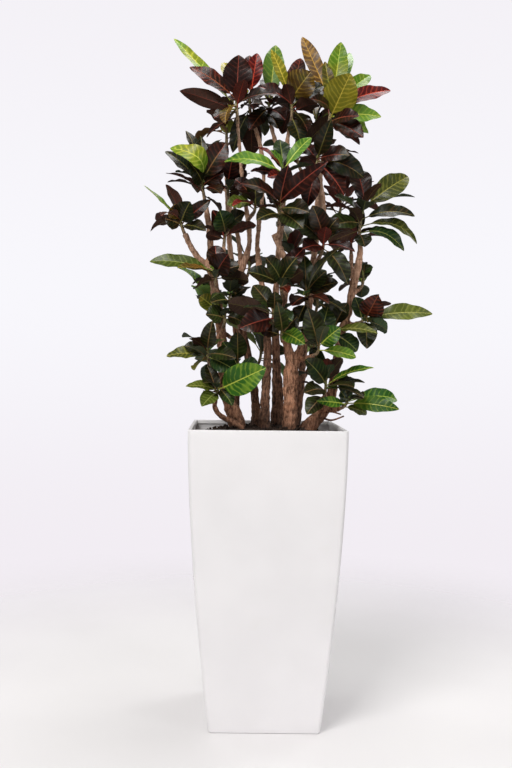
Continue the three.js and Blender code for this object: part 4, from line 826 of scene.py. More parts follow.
def grow_plant():
    """The limbs, and the shoots with the leaves that the solids have."""
    limbs = [
        SimpleNamespace(stem=stem, limb=limb, path=limb_path(points), out=None)
        for stem, limb, points in LIMBS
    ] + back_limbs()
    ends = {limb.limb: curve_point(limb.path, len(limb.path) - 2, 1) for limb in limbs}

    shoots = []
    for name, limb, (x, z, depth), more, rows in SHOOTS:
        axis = shoot_axis(ends[limb], seen(x, z, depth))
        shoots.append(SimpleNamespace(name=name, axis=axis, shown=shown_leaves(axis, depth, rows),
                                      more=more, sector=math.pi))
    back_mains = [main for _, main, _, _ in BACK_LIMBS]
    for limb in limbs:
        if limb.out is None and limb.limb not in back_mains:
            continue
        end = ends[limb.limb]
        apex = end.place + UP * BACK_SHOOT_LENGTH
        if limb.out is not None:
            apex = apex + limb.out * BACK_SHOOT_LEAN
        name = f"shoot_{len(shoots) + 1:02d}"
        shoots.append(SimpleNamespace(name=name, axis=shoot_axis(end, apex), shown=[],
                                      more=BACK_LEAVES, sector=2 * math.pi))
    for i, shoot in enumerate(shoots):
        shoot.owner = len(stem_names(limbs)) + i
        shoot.leaves = []
    space = Space()
    fill_space(space, limbs, shoots)

    def place(shoot, specs, seed, sideways):
        for i in sorted(range(len(specs)), key=lambda k: -specs[k].width):
            grow_leaf(shoot, specs[i], space, seed + i, sideways)

    for i, shoot in enumerate(shoots):
        place(shoot, shoot.shown, LEAF_SEED_STEP * (i + 1), SHOWN_BEND)
    for i, shoot in enumerate(shoots):
        specs = ruled_leaves(shoot.axis, shoot.more, RULE_SEED + i, shoot.sector)
        place(shoot, specs, LEAF_SEED_STEP * (i + 1) + RULED_LEAF_SEED, RULED_BEND)
    return limbs, shoots


def inner_leaves(axis, count, seed):
    """Smaller leaves by rule, all round the shoot."""
    draw = draws(seed)
    phase = draw()
    specs = []
    for i in range(count):
        heading = 2 * math.pi * ((i * GOLDEN_SHARE + phase) % 1)
        rise = math.radians(INNER_RISE + (draw() - 0.5) * INNER_RISE_SPREAD)
        length = INNER_LENGTH * (1 + (draw() - 0.5) * INNER_LENGTH_SPREAD)
        t = INNER_FIRST_ROOT + INNER_ROOT_SPAN * (i + draw()) / count
        specs.append(ruled_leaf(axis, t, heading, rise, length, BLADE_ARCH, draw))
    return specs


def fill_crown(limbs, shoots):
    """Adds the leaves that are seen between the larger ones, where there is room for them."""
    space = Space(0)
    fill_space(space, limbs, shoots)
    for shoot in shoots:
        for leaf in shoot.leaves:
            space.add(leaf_samples(leaf, ROOT_FREE), shoot.owner, leaf_samples(leaf, OWN_FREE))

    depths = {name: depth for name, _, (_, _, depth), _, _ in SHOOTS}
    for n, (name, t, x, z, dy, width, turn, tone) in enumerate(INNER_LEAVES):
        shoot = next(shoot for shoot in shoots if shoot.name == name)
        spec = SimpleNamespace(t=t, tip=seen(x, z, depths[name] + dy), width=width, turn=turn,
                               arch=BLADE_ARCH, tone=tone, behind=False)
        grow_leaf(shoot, spec, space, INNER_LEAF_SEED + n, SHOWN_BEND)
    for n, shoot in enumerate(shoots):
        for k, spec in enumerate(inner_leaves(shoot.axis, INNER_COUNT, INNER_RULE_SEED + n)):
            seed = INNER_RULED_SEED + INNER_SEED_STEP * n + k
            grow_leaf(shoot, spec, space, seed, RULED_BEND)


# Shapes


class Body:
    """A mesh in the making: points, faces with a material number each, and values per point."""

    def __init__(self, *values):
        self.points = []
        self.faces = []
        self.slots = []
        self.values = {name: [] for name in values}
        self.count = 0

    def add(self, points, faces, slot=0, **values):
        """Adds points, and faces as index tables, each with equally many corners in its rows."""
        points = np.asarray(points, float).reshape(-1, 3)
        for table in faces:
            self.faces += (np.asarray(table) + self.count).tolist()
            self.slots += [slot] * len(table)
        for name, rows in self.values.items():
            rows.append(np.broadcast_to(values.get(name, np.zeros(3)), (len(points), 3)))
        self.points.append(points)
        self.count += len(points)

    def build(self, name, materials, sharp=None):
        mesh = bpy.data.meshes.new(name)
        mesh.from_pydata((np.concatenate(self.points) * MM).tolist(), [], self.faces)
        for material in materials:
            mesh.materials.append(material)
        mesh.polygons.foreach_set("material_index", self.slots)
        for key, rows in self.values.items():
            layer = mesh.attributes.new(key, "FLOAT_VECTOR", "POINT")
            layer.data.foreach_set("vector", np.concatenate(rows).astype(np.float32).ravel())
        mesh.polygons.foreach_set("use_smooth", [True] * len(mesh.polygons))
        if sharp:
            mesh.set_sharp_from_angle(angle=math.radians(sharp))
        mesh.validate()
        mesh.update()
        piece = bpy.data.objects.new(name, mesh)
        bpy.context.scene.collection.objects.link(piece)
        return piece


def tube_faces(rows, around):
    """Quads between rings that run anticlockwise about the way of travel."""
    i, k = np.meshgrid(np.arange(rows - 1), np.arange(around), indexing="ij")
    a = (i * around + k).ravel()
    b = (i * around + (k + 1) % around).ravel()
    return np.stack([a, b, b + around, a + around], -1)


def capped_tube(rows, around, tip=False):
    """The faces of a closed tube: a flat cap at the start, and at the end a cap or a point."""
    start = np.arange(around)[::-1][None, :]
    last = (rows - 1) * around
    if not tip:
        return [tube_faces(rows, around), start, last + np.arange(around)[None, :]]
    k = np.arange(around)
    point = np.full(around, rows * around)
    fan = np.stack([last + k, last + (k + 1) % around, point], -1)
    return [tube_faces(rows, around), start, fan]


def smoothstep(low, high, value):
    t = np.clip((value - low) / (high - low), 0, 1)
    return t * t * (3 - 2 * t)


# Leaf surface: rows along the leaf, and columns across its upper and then its lower face
STALK_ROWS = [0, 0.035, 0.07, 0.105, 0.13]
BLADE_ROWS = 22
COLUMNS = [1, 0.93, 0.66, 0.36, 0.07]
HALF_BLADE = 0.4
THIN_EDGE_POWER = 6
MIDRIB_HALF = 0.15
MIDRIB_GROOVE = 0.25
GROOVE_HALF = 0.07
MIDRIB_RIDGE = 1.3
RIDGE_AT_TIP = 0.15
STALK_TO_BLADE = (0.12, 0.21)
FOLD_POWER = 1.3
ROUND_TIP = 0.66
POINTED_TIP = 0.9
RIPPLE = 0.9
RIPPLE_TURNS = 33
RIPPLE_OFFSET = 2.3
VEIN_SPACING = 5
VEIN_SPREAD = 0.07
VEIN_LEAN = 0.45
VEIN_BEND = 0.008
VEIN_STAGGER = 0.4
PATTERN_SHIFT = 400


def fine_half(leaf, u, tip_power):
    """Half width of the finished blade, whose tip is more pointed than the solid's."""
    t = np.clip(along_blade(u), 0, 1)
    top = ROOT_POWER / (ROOT_POWER + tip_power)
    widest = top ** ROOT_POWER * (1 - top) ** tip_power
    blade = leaf.width / 2 * t ** ROOT_POWER * (1 - t) ** tip_power / widest
    return np.maximum(blade, PETIOLE_RADIUS * (1 - t))


def leaf_grid():
    """Rows along a leaf, closer near both ends of its blade, and the columns round it."""
    blade = np.linspace(0, 1, BLADE_ROWS)
    blade = 0.5 * blade + 0.25 * (1 - np.cos(math.pi * blade))
    rows = np.concatenate([STALK_ROWS, PETIOLE_SHARE + (1 - PETIOLE_SHARE) * blade[:-1]])
    top = COLUMNS + [0] + [-v for v in reversed(COLUMNS)]
    under = [-v for v in COLUMNS[1:]] + [0] + list(reversed(COLUMNS[1:]))
    v = np.array(top + under)
    below = np.array([0.0] * len(top) + [1.0] * len(under))
    return rows, v, below


LEAF_ROWS, LEAF_AROUND, LEAF_BELOW = leaf_grid()
LEAF_FACES = capped_tube(len(LEAF_ROWS), len(LEAF_AROUND), tip=True)


def leaf_lift(u, v, below):
    """How far the upper or lower face stands off the middle of the blade."""
    stalk = PETIOLE_RADIUS * np.sqrt(np.maximum(1 - v * v, 0))
    near_rib = np.clip(1 - np.abs(v) / MIDRIB_HALF, 0, 1)
    groove = np.clip(1 - np.abs(v) / GROOVE_HALF, 0, 1)
    along = np.clip(along_blade(u), 0, 1)
    blade = HALF_BLADE * (1 - v ** THIN_EDGE_POWER)
    top = blade + MIDRIB_GROOVE * (near_rib - 2 * groove)
    under = blade + (MIDRIB_RIDGE * (1 - along) + RIDGE_AT_TIP) * near_rib ** 2
    share = smoothstep(*STALK_TO_BLADE, u)
    face = np.where(below > 0.5, under, top)
    lift = stalk * (1 - share) + face * share
    return np.where(below > 0.5, -lift, lift)


def per_point(*columns):
    """Columns side by side, where a single number stands for a whole column."""
    return np.stack(np.broadcast_arrays(*columns), -1)


def leaf_mesh(leaf, seed):
    """Points and values of one leaf: its upper and lower face as one closed skin."""
    draw = draws(seed)
    u = np.append(np.repeat(LEAF_ROWS, len(LEAF_AROUND)), 1.0)
    v = np.append(np.tile(LEAF_AROUND, len(LEAF_ROWS)), 0.0)
    below = np.append(np.tile(LEAF_BELOW, len(LEAF_ROWS)), 0.0)
    half = fine_half(leaf, u, between(ROUND_TIP, POINTED_TIP, draw()))
    ripple = RIPPLE * np.minimum(half / WAVE_HALF_WIDTH, WAVE_LIMIT) * np.abs(v) ** 3
    turn = RIPPLE_TURNS * u + 2 * leaf.phase + np.where(v > 0, 0.0, RIPPLE_OFFSET)
    lift = leaf_lift(u, v, below) + ripple * np.sin(turn)
    lift[-1] = 0
    points = leaf_points(leaf, u, v, lift, FOLD_POWER, half)

    across = v * half
    blade_length = leaf.length * (1 - PETIOLE_SHARE)
    t = along_blade(u)
    veins = round(blade_length / (VEIN_SPACING + VEIN_SPREAD * blade_length))
    stagger = np.where(v > 0, VEIN_STAGGER, 0.0)
    lean = (np.abs(across) * VEIN_LEAN + across ** 2 * VEIN_BEND) / blade_length
    shade, warmth = draw(), draw()
    values = {
        "veins": per_point(across, veins * (t - lean) + stagger, t),
        "flat": per_point(across, u * leaf.length, PATTERN_SHIFT * draw()),
        "leaf": per_point(shade, warmth, below),
    }
    return points, values


# Green stem of a shoot, rooted in the end of its limb, with scars of fallen leaves
SCAR_TURN = 2.4
SHOOT_ROOT = 7
SHOOT_ROOT_SWELL = 0.7
SHOOT_FINE_STEP = 2.6
SHOOT_FINE_SIDES = 12
SCAR_SPACING = 7.5
SCAR_HEIGHT = 0.45
SCAR_LENGTH = 1.6
SCAR_FOCUS = 2.2
SCAR_ALL_ROUND = 0.35
SCARRED_RADIUS = 2.4
BUD_LENGTH = 13
BUD_RINGS = 6
BUD_POWER = 1.4
BUD_SWELL = 0.35


def shoot_stem(axis, seed):
    draw = draws(seed)
    stations = shoot_stations(axis, SHOOT_FINE_STEP)
    first = stations[0]
    stations.insert(0, station(first.place - first.way * SHOOT_ROOT, first.way,
                               first.radius + SHOOT_ROOT_SWELL))
    end = stations[-1]
    for k in range(1, BUD_RINGS):
        share = k / BUD_RINGS
        stations.append(station(end.place + end.way * (BUD_LENGTH * share), end.way,
                                end.radius * (1 - share ** BUD_POWER) * (1 + BUD_SWELL * share)))
    angles = 2 * math.pi * np.arange(SHOOT_FINE_SIDES) / SHOOT_FINE_SIDES
    turn = 2 * math.pi * draw()
    radii = []
    for k, at in enumerate(stations):
        along = k * SHOOT_FINE_STEP
        scar = round(along / SCAR_SPACING)
        near = math.exp(-(((along - scar * SCAR_SPACING) / SCAR_LENGTH) ** 2))
        facing = np.exp(SCAR_FOCUS * (np.cos(angles - turn - scar * SCAR_TURN) - 1))
        bumps = SCAR_HEIGHT * near * (SCAR_ALL_ROUND + facing) if at.radius > SCARRED_RADIUS else 0
        radii.append(at.radius + bumps + np.zeros(SHOOT_FINE_SIDES))
    rings = rings_along(stations, SHOOT_FINE_SIDES, radii)
    tip = end.place + end.way * BUD_LENGTH
    points = np.concatenate([rings.reshape(-1, 3), tip[None, :]])
    share = np.repeat(np.arange(len(stations)) / len(stations), SHOOT_FINE_SIDES)
    values = {"leaf": np.stack([np.append(share, 1.0)] * 3, -1)}
    return points, capped_tube(len(stations), SHOOT_FINE_SIDES, tip=True), values


TONE_SLOTS = {
    "G": "leaf_green",
    "Y": "leaf_yellow",
    "B": "leaf_bronze",
    "D": "leaf_maroon",
    "R": "leaf_red",
    "K": "leaf_dark_green",
    "O": "leaf_dark_green",
}
BOX_MARGIN = 0.2
LEAF_SHARP = 70


def main_tone(shoot):
    def weight(tone):
        return sum(leaf.length * leaf.width for leaf in shoot.leaves if leaf.tone == tone)

    return max(TONE_SLOTS, key=weight)


def inside_box(points):
    """Keeps the finest waves within the box of the CAD model."""
    low = np.array(cad_box[0]) / MM + BOX_MARGIN
    high = np.array(cad_box[1]) / MM - BOX_MARGIN
    low[2] = 0
    return np.clip(points, low, high)


def build_shoots(shoots, leaf_materials, stem_material):
    tones = list(TONE_SLOTS)
    for n, shoot in enumerate(shoots):
        body = Body("veins", "flat", "leaf")
        for k, leaf in enumerate(shoot.leaves):
            points, values = leaf_mesh(leaf, BLADE_SEED + BLADE_SEED_STEP * n + k)
            body.add(inside_box(points), LEAF_FACES, tones.index(leaf.tone), **values)
        points, faces, values = shoot_stem(shoot.axis, STEM_SEED + n)
        body.add(points, faces, len(tones), **values)
        materials = [leaf_materials[tone] for tone in tones] + [stem_material]
        piece = body.build(f"leaves_{n + 1:02d}", materials, sharp=LEAF_SHARP)
        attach(piece, "root")
        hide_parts(shoot.name)
        TONE_SLOTS[main_tone(shoot)]


# Wood: fine rings with knobs and leaf scars, made one skin for each stem
WOOD_FINE_STEP = 4.5
WOOD_FINE_SIDES = 20
WOOD_VOXEL = 2.7
WOOD_SMOOTHING = 2
TWIG_RADIUS = 4
TWIG_SIDES = 8
KNOT_SPACING = 19
KNOT_LENGTH = 3.2
KNOT_FOCUS = 3.0
# Height of a knot all round the stem, and of its scar: a part, and a share of the radius
KNOT_RING = (0.2, 0.03)
KNOT_SCAR = (0.5, 0.06)
BARE_SHARE = 0.93
FOOT_FLARE = 0.22
FOOT_FLARE_HEIGHT = 22

# The section's waves: height, lobes, and the length of stem in which they turn one radian
SECTION_WAVES = [(0.05, 2, 90), (0.035, 3, -60), (0.025, 5, 33)]
# Slow swellings along the stem: height, and the length of stem for one radian
SWELLINGS = [(0.035, 17), (0.03, 41), (0.02, 7.3)]
# Phases drawn for each limb: two more than the waves use, which keeps the later draws
WOOD_PHASES = 8
# Corky relief: name, size and height
CORK = [("lumps", 17, 4), ("cork", 6, 1.5)]
# Stems whose bark copy has painted shade low down, for the shade between and behind the other stems
SHADED_STEMS = ["stem_dark", "stem_middle", "stem_tall", "stem_back_left", "stem_back_right"]


def wood_radii(stations, seed):
    """Radii round each ring: an uneven section, slow swellings, rings and scars."""
    draw = draws(seed)
    angles = 2 * math.pi * np.arange(WOOD_FINE_SIDES) / WOOD_FINE_SIDES
    phases = [2 * math.pi * draw() for _ in range(WOOD_PHASES)]
    section_phases, swell_phases = phases[:len(SECTION_WAVES)], phases[len(SECTION_WAVES):]
    along = 0.0
    scar_at, scar_turn = 6 + 10 * draw(), 2 * math.pi * draw()
    radii = []
    for i, at in enumerate(stations):
        if i:
            along += float(np.linalg.norm(at.place - stations[i - 1].place))
        while along > scar_at + KNOT_SPACING / 2:
            scar_at += KNOT_SPACING * (0.7 + 0.6 * draw())
            scar_turn += SCAR_TURN
        section = sum(height * np.cos(lobes * angles + phase + along / length)
                      for (height, lobes, length), phase in zip(SECTION_WAVES, section_phases))
        swell = sum(height * math.sin(along / length + phase)
                    for (height, length), phase in zip(SWELLINGS, swell_phases))
        near = math.exp(-(((along - scar_at) / KNOT_LENGTH) ** 2))
        facing = np.exp(KNOT_FOCUS * (np.cos(angles - scar_turn) - 1))
        ring = KNOT_RING[0] + KNOT_RING[1] * at.radius
        scar = near * (ring + (KNOT_SCAR[0] + KNOT_SCAR[1] * at.radius) * facing)
        above = (at.place[2] - SOIL_LEVEL) / FOOT_FLARE_HEIGHT
        flare = FOOT_FLARE * math.exp(-(above ** 2))
        radii.append(at.radius * (BARE_SHARE + section + swell + flare) + scar)
    return radii


def corky_skin(piece):
    """The mesh of the piece as one skin, its joins rounded and its surface corky."""
    remesh = piece.modifiers.new("one_skin", "REMESH")
    remesh.mode = "VOXEL"
    remesh.voxel_size = WOOD_VOXEL * MM
    smooth = piece.modifiers.new("round_joins", "SMOOTH")
    smooth.factor = 0.5
    smooth.iterations = WOOD_SMOOTHING
    for name, size, height in CORK:
        cork = bpy.data.textures.new(name, "CLOUDS")
        cork.noise_scale = size * MM
        cork.noise_depth = 1
        rough = piece.modifiers.new(name, "DISPLACE")
        rough.texture = cork
        rough.texture_coords = "LOCAL"
        rough.strength = height * MM
    graph = bpy.context.evaluated_depsgraph_get()
    return bpy.data.meshes.new_from_object(piece.evaluated_get(graph))


def mesh_points(mesh):
    flat = np.empty(len(mesh.vertices) * 3, np.float32)
    mesh.vertices.foreach_get("co", flat)
    return flat.reshape(-1, 3).astype(float) / MM


def build_wood(limbs, bark, shaded_bark):
    """One skin for each stem and its limbs, with its thin twigs let into it as they are."""
    for n, stem in enumerate(stem_names(limbs)):
        rough = Body()
        whole = Body()
        for k, limb in enumerate(limb for limb in limbs if limb.stem == stem):
            stations = follow_curve(limb.path, WOOD_FINE_STEP)
            if limb.path[0][3] < TWIG_RADIUS:
                rings = rings_along(stations, TWIG_SIDES)
                whole.add(rings, capped_tube(len(rings), TWIG_SIDES))
                continue
            radii = wood_radii(stations, WOOD_SEED + WOOD_SEED_STEP * n + k)
            rings = rings_along(stations, WOOD_FINE_SIDES, radii)
            rough.add(rings, capped_tube(len(rings), WOOD_FINE_SIDES))
        draft = rough.build(f"draft_{stem}", [])
        skin = corky_skin(draft)
        faces = {}
        for polygon in skin.polygons:
            faces.setdefault(len(polygon.vertices), []).append(list(polygon.vertices))
        whole.add(mesh_points(skin), list(faces.values()))
        bpy.data.objects.remove(draft)
        material = shaded_bark if stem in SHADED_STEMS else bark
        piece = whole.build(stem.replace("stem", "wood"), [material])
        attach(piece, "root")
        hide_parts(stem)


# Planter and soil: rounded squares at each height


def planter_half(z):
    flare = np.maximum(1 - z / PLANTER_HEIGHT, 0)
    return RIM_WIDTH / 2 - (RIM_WIDTH - BASE_WIDTH) / 2 * flare ** SIDE_BOW


def rounded_square(half, radius, z):
    """A ring with points along the sides as well as round the corners."""
    ring = []
    for corner in range(4):
        turn = corner * math.pi / 2
        x = (half - radius) * np.sign(math.cos(turn + math.pi / 4))
        y = (half - radius) * np.sign(math.sin(turn + math.pi / 4))
        for k in range(CORNER_PARTS + 1):
            angle = turn + k / CORNER_PARTS * math.pi / 2
            ring.append([x + radius * math.cos(angle), y + radius * math.sin(angle), z])
        side = np.array([-math.sin(turn + math.pi / 2), math.cos(turn + math.pi / 2), 0])
        start = np.array(ring[-1])
        ring += [
            (start + side * (2 * (half - radius) * k / SIDE_PARTS)).tolist()
            for k in range(1, SIDE_PARTS)
        ]
    return np.array(ring)


def wall_ring(z, inset):
    half = float(planter_half(z)) - inset
    return rounded_square(half, max(CORNER_RADIUS - inset, LEAST_CORNER), z)


def build_planter(material):
    """One skin: up the outside, over the rim and its inner lip, and down to the floor inside."""
    quarter = [k / EDGE_PARTS * math.pi / 2 for k in range(EDGE_PARTS + 1)]
    rounding = [(1 - math.cos(angle), 1 - math.sin(angle)) for angle in quarter]
    shares = np.linspace(0, 1, WALL_RINGS)[1:]
    top = PLANTER_HEIGHT - RIM_ROUNDING
    lip = WALL + LIP_REACH
    lip_foot = PLANTER_HEIGHT - LIP_DEPTH
    wall_top = lip_foot - LIP_SLOPE
    profile = [(FOOT_BEVEL * a, FOOT_BEVEL * b) for a, b in rounding]
    profile += [(z, 0) for z in FOOT_BEVEL + (top - FOOT_BEVEL) * shares]
    profile += [(PLANTER_HEIGHT - RIM_ROUNDING * b, RIM_ROUNDING * a) for a, b in rounding[1:]]
    profile += [(PLANTER_HEIGHT - RIM_ROUNDING * a, lip - RIM_ROUNDING * b) for a, b in rounding]
    profile += [(lip_foot, lip), (lip_foot - LIP_SLOPE / 2, WALL + 1), (wall_top, WALL)]
    profile += [(z, WALL) for z in wall_top + (FLOOR_THICKNESS - wall_top) * shares]
    rings = np.array([wall_ring(z, inset) for z, inset in profile])
    body = Body()
    body.add(rings, capped_tube(len(rings), rings.shape[1]))
    piece = body.build("pot", [material], sharp=PLANTER_SHARP)
    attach(piece, "root")
    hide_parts("planter")


def soil_reach(angle, half, radius):
    """How far a rounded square reaches from its middle in each direction."""
    c, s = np.abs(np.cos(angle)), np.abs(np.sin(angle))
    side = half / np.maximum(c, s)
    a = half - radius
    corner = a * (c + s) + np.sqrt(np.maximum((a * (c + s)) ** 2 - 2 * a * a + radius * radius, 0))
    return np.where(np.minimum(c, s) * side > a, corner, side)


def soil_height(share):
    """Height of the mound over the level at the wall."""
    return SOIL_MOUND * np.interp(share, MOUND_SHARES, MOUND_HEIGHTS)


def grains(x, y):
    """Crumbs and hollows of the soil: sums of waves in many directions."""
    rng = np.random.default_rng(GRAIN_SEED)
    total = np.zeros_like(x)
    for size, height in GRAINS:
        for _ in range(GRAIN_WAYS):
            way, phase = rng.uniform(0, 2 * math.pi, 2)
            wave = np.sin((x * math.cos(way) + y * math.sin(way)) * 2 * math.pi / size + phase)
            total += height * wave / GRAIN_WAYS * GRAIN_HEIGHT
    return total


CHIP_SQUARE = [(-1, -1), (1, -1), (1, 1), (-1, 1)]
CHIP_CORNERS = np.array([[x, y, z] for z in (-1, 1) for x, y in CHIP_SQUARE], float)
CHIP_FACES = capped_tube(2, 4)


def chip(rng, place, size):
    """A crumb of bark or peat: a box with every corner moved."""
    corners = CHIP_CORNERS * rng.uniform(*CHIP_CORNER_SHARES, CHIP_CORNERS.shape)
    corners = corners * size * rng.uniform(*CHIP_STRETCH, 3)
    turn = Matrix.Rotation(rng.uniform(0, 2 * math.pi), 3, Vector(unit(rng.normal(size=3))))
    return corners @ np.array(turn) + place


def build_soil(material):
    """The soil down to the floor, inside the wall with a little play, and chips on its top."""
    gap = WALL + 2 * FIT_GAP
    corner_at_wall = CORNER_RADIUS - gap + 1
    angles = 2 * math.pi * np.arange(SOIL_AROUND) / SOIL_AROUND
    circle = np.stack([np.cos(angles), np.sin(angles)], -1)

    def wall(z):
        reach = soil_reach(angles, float(planter_half(z)) - gap, corner_at_wall)
        return np.concatenate([circle * reach[:, None], np.full((SOIL_AROUND, 1), z)], -1)

    heights = np.linspace(FLOOR_THICKNESS + FIT_GAP, SOIL_LEVEL, SOIL_WALL_RINGS)
    rings = [wall(z) for z in heights]
    half = float(planter_half(SOIL_LEVEL)) - gap
    for share in np.linspace(1, 0, SOIL_RINGS)[1:-1]:
        rounder = smoothstep(1, SOIL_ROUND_AT, share)
        corner = corner_at_wall + (half * share - SOIL_CORNER_INSET) * rounder
        reach = soil_reach(angles, half * share, min(max(corner, 1), half * share))
        flat = circle * reach[:, None]
        crumbs = grains(flat[:, 0], flat[:, 1]) * smoothstep(1, SOIL_EDGE, share)
        z = SOIL_LEVEL + soil_height(share) + crumbs
        rings.append(np.concatenate([flat, z[:, None]], -1))
    rings = np.array(rings)
    top = [0, 0, SOIL_LEVEL + soil_height(0)]
    body = Body()
    points = np.concatenate([rings.reshape(-1, 3), [top]])
    body.add(points, capped_tube(len(rings), SOIL_AROUND, tip=True))
    rng = np.random.default_rng(CHIP_SEED)
    for _ in range(SOIL_CHIPS):
        x, y = rng.uniform(-CHIP_REACH, CHIP_REACH, 2) * half
        share = max(abs(x), abs(y)) / half
        size = rng.uniform(*CHIP_SIZES)
        z = SOIL_LEVEL + soil_height(share)
        z += grains(np.array(x), np.array(y)) * (share < SOIL_EDGE)
        body.add(chip(rng, np.array([x, y, float(z) + size * CHIP_LIFT]), size), CHIP_FACES)
    piece = body.build("earth", [material], sharp=SOIL_SHARP)
    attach(piece, "root")
    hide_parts("soil")


# Materials. Colours are sRGB hex, and scales are those of Blender's noise textures.
BARK_RELIEF = 0.0011
SOIL_RELIEF = 0.0025
PLASTIC_IOR = 1.47
PLANT_IOR = 1.45
SOIL_IOR = 1.4


def linear(colour):
    """Linear RGBA from an sRGB hex colour."""
    rgb = [int(colour[i : i + 2], 16) / 255 for i in (0, 2, 4)]
    return [c / 12.92 if c <= 0.04045 else ((c + 0.055) / 1.055) ** 2.4 for c in rgb] + [1.0]


class Graph:
    """Short names for the nodes of a material or a world. A hex colour may stand for a value."""

    def __init__(self, owner):
        owner.use_nodes = True
        self.owner = owner
        self.tree = owner.node_tree
        self.tree.nodes.clear()

    def node(self, kind, inputs=None, **settings):
        node = self.tree.nodes.new(f"ShaderNode{kind}")
        for key, value in settings.items():
            setattr(node, key, value)
        for key, value in (inputs or {}).items():
            if isinstance(value, bpy.types.NodeSocket):
                self.tree.links.new(value, node.inputs[key])
            else:
                node.inputs[key].default_value = linear(value) if isinstance(value, str) else value
        return node

    def math(self, operation, *values):
        return self.node("Math", dict(enumerate(values)), operation=operation).outputs[0]

    def add(self, a, b):
        return self.math("ADD", a, b)

    def less(self, a, b):
        return self.math("SUBTRACT", a, b)

    def times(self, a, b):
        return self.math("MULTIPLY", a, b)

    def over(self, a, b):
        return self.math("DIVIDE", a, b)

    def ramp(self, value, low, high, start=0.0, end=1.0, kind="SMOOTHSTEP"):
        """Value from low to high becomes start to end, and stays between them outside."""
        inputs = {"Value": value, "From Min": low, "From Max": high, "To Min": start, "To Max": end}
        return self.node("MapRange", inputs, interpolation_type=kind).outputs["Result"]

    def line(self, value, low, high, start=0.0, end=1.0):
        return self.ramp(value, low, high, start, end, kind="LINEAR")

    def fade(self, value, low, high):
        """1 up to low, and down to 0 at high."""
        return self.ramp(value, low, high, 1.0, 0.0)

    def level(self, noise, least, most):
        """The usual range of a noise becomes least to most."""
        return self.line(noise, 0.3, 0.7, least, most)

    def mix(self, share, a, b, blend="MIX"):
        inputs = {0: share, 6: a, 7: b}
        return self.node("Mix", inputs, data_type="RGBA", blend_type=blend).outputs[2]

    def tinted(self, colour, red, green, blue):
        tint = self.node("CombineColor", {"Red": red, "Green": green, "Blue": blue}).outputs[0]
        return self.mix(1.0, colour, tint, blend="MULTIPLY")

    def noise(self, vector, scale, detail=2.0, roughness=0.5):
        inputs = {"Vector": vector, "Scale": scale, "Detail": detail, "Roughness": roughness}
        return self.node("TexNoise", inputs).outputs[0]

    def cells(self, vector, scale, feature):
        inputs = {"Vector": vector, "Scale": scale}
        return self.node("TexVoronoi", inputs, feature=feature).outputs["Distance"]

    def attribute(self, name):
        return self.node("Attribute", attribute_name=name).outputs["Vector"]

    def split(self, vector):
        return list(self.node("SeparateXYZ", {"Vector": vector}).outputs)

    def place(self, scale=(1, 1, 1)):
        """Object coordinates in metres, stretched by scale."""
        coordinates = self.node("TexCoord").outputs["Object"]
        return self.node("Mapping", {"Vector": coordinates, "Scale": scale}).outputs[0]

    def bump(self, height, distance=MM):
        """Relief from a height in units of distance."""
        return self.node("Bump", {"Height": height, "Distance": distance}).outputs[0]

    def finish(self, **inputs):
        named = {key.replace("_", " "): value for key, value in inputs.items()}
        shader = self.node("BsdfPrincipled", named)
        self.node("OutputMaterial", {"Surface": shader.outputs["BSDF"]})
        return self.owner


def material_graph(name):
    return Graph(bpy.data.materials.new(name))


# Leaf pattern. The attribute flat is in millimetres, so its scales are per millimetre.
WANDER_SCALE = 0.05
FINE_SCALE = 0.55
CLOUD_SCALE = 0.028
DRIFT_SCALE = 0.018
GLOSS_SCALE = 0.11
NET_SCALE = 0.24
RIB_AT_ROOT = 1.25
RIB_AT_TIP = 0.4
VEIN_WANDER = 0.9
SUN_FOOT = 1.05
SUN_TOP = 1.75
SUN_SHARE = 0.3
DRIFT_SHARE = 1.2
HALO_MOTTLE = 0.16
GLOW_SHARE = 0.22
WARMTH_TURN = 0.12
DARKEST_LEAF = 0.72
LIGHTEST_LEAF = 1.3
LEAF_ROUGHNESS = 0.33
UNDER_ROUGHER = 0.3
LEAF_SPECULAR = 0.3
DOME_RELIEF = 0.1
FINE_RELIEF = 0.012
VEIN_RELIEF = -0.05
NET_RELIEF = -0.02
UNDER_RELIEF = -0.9


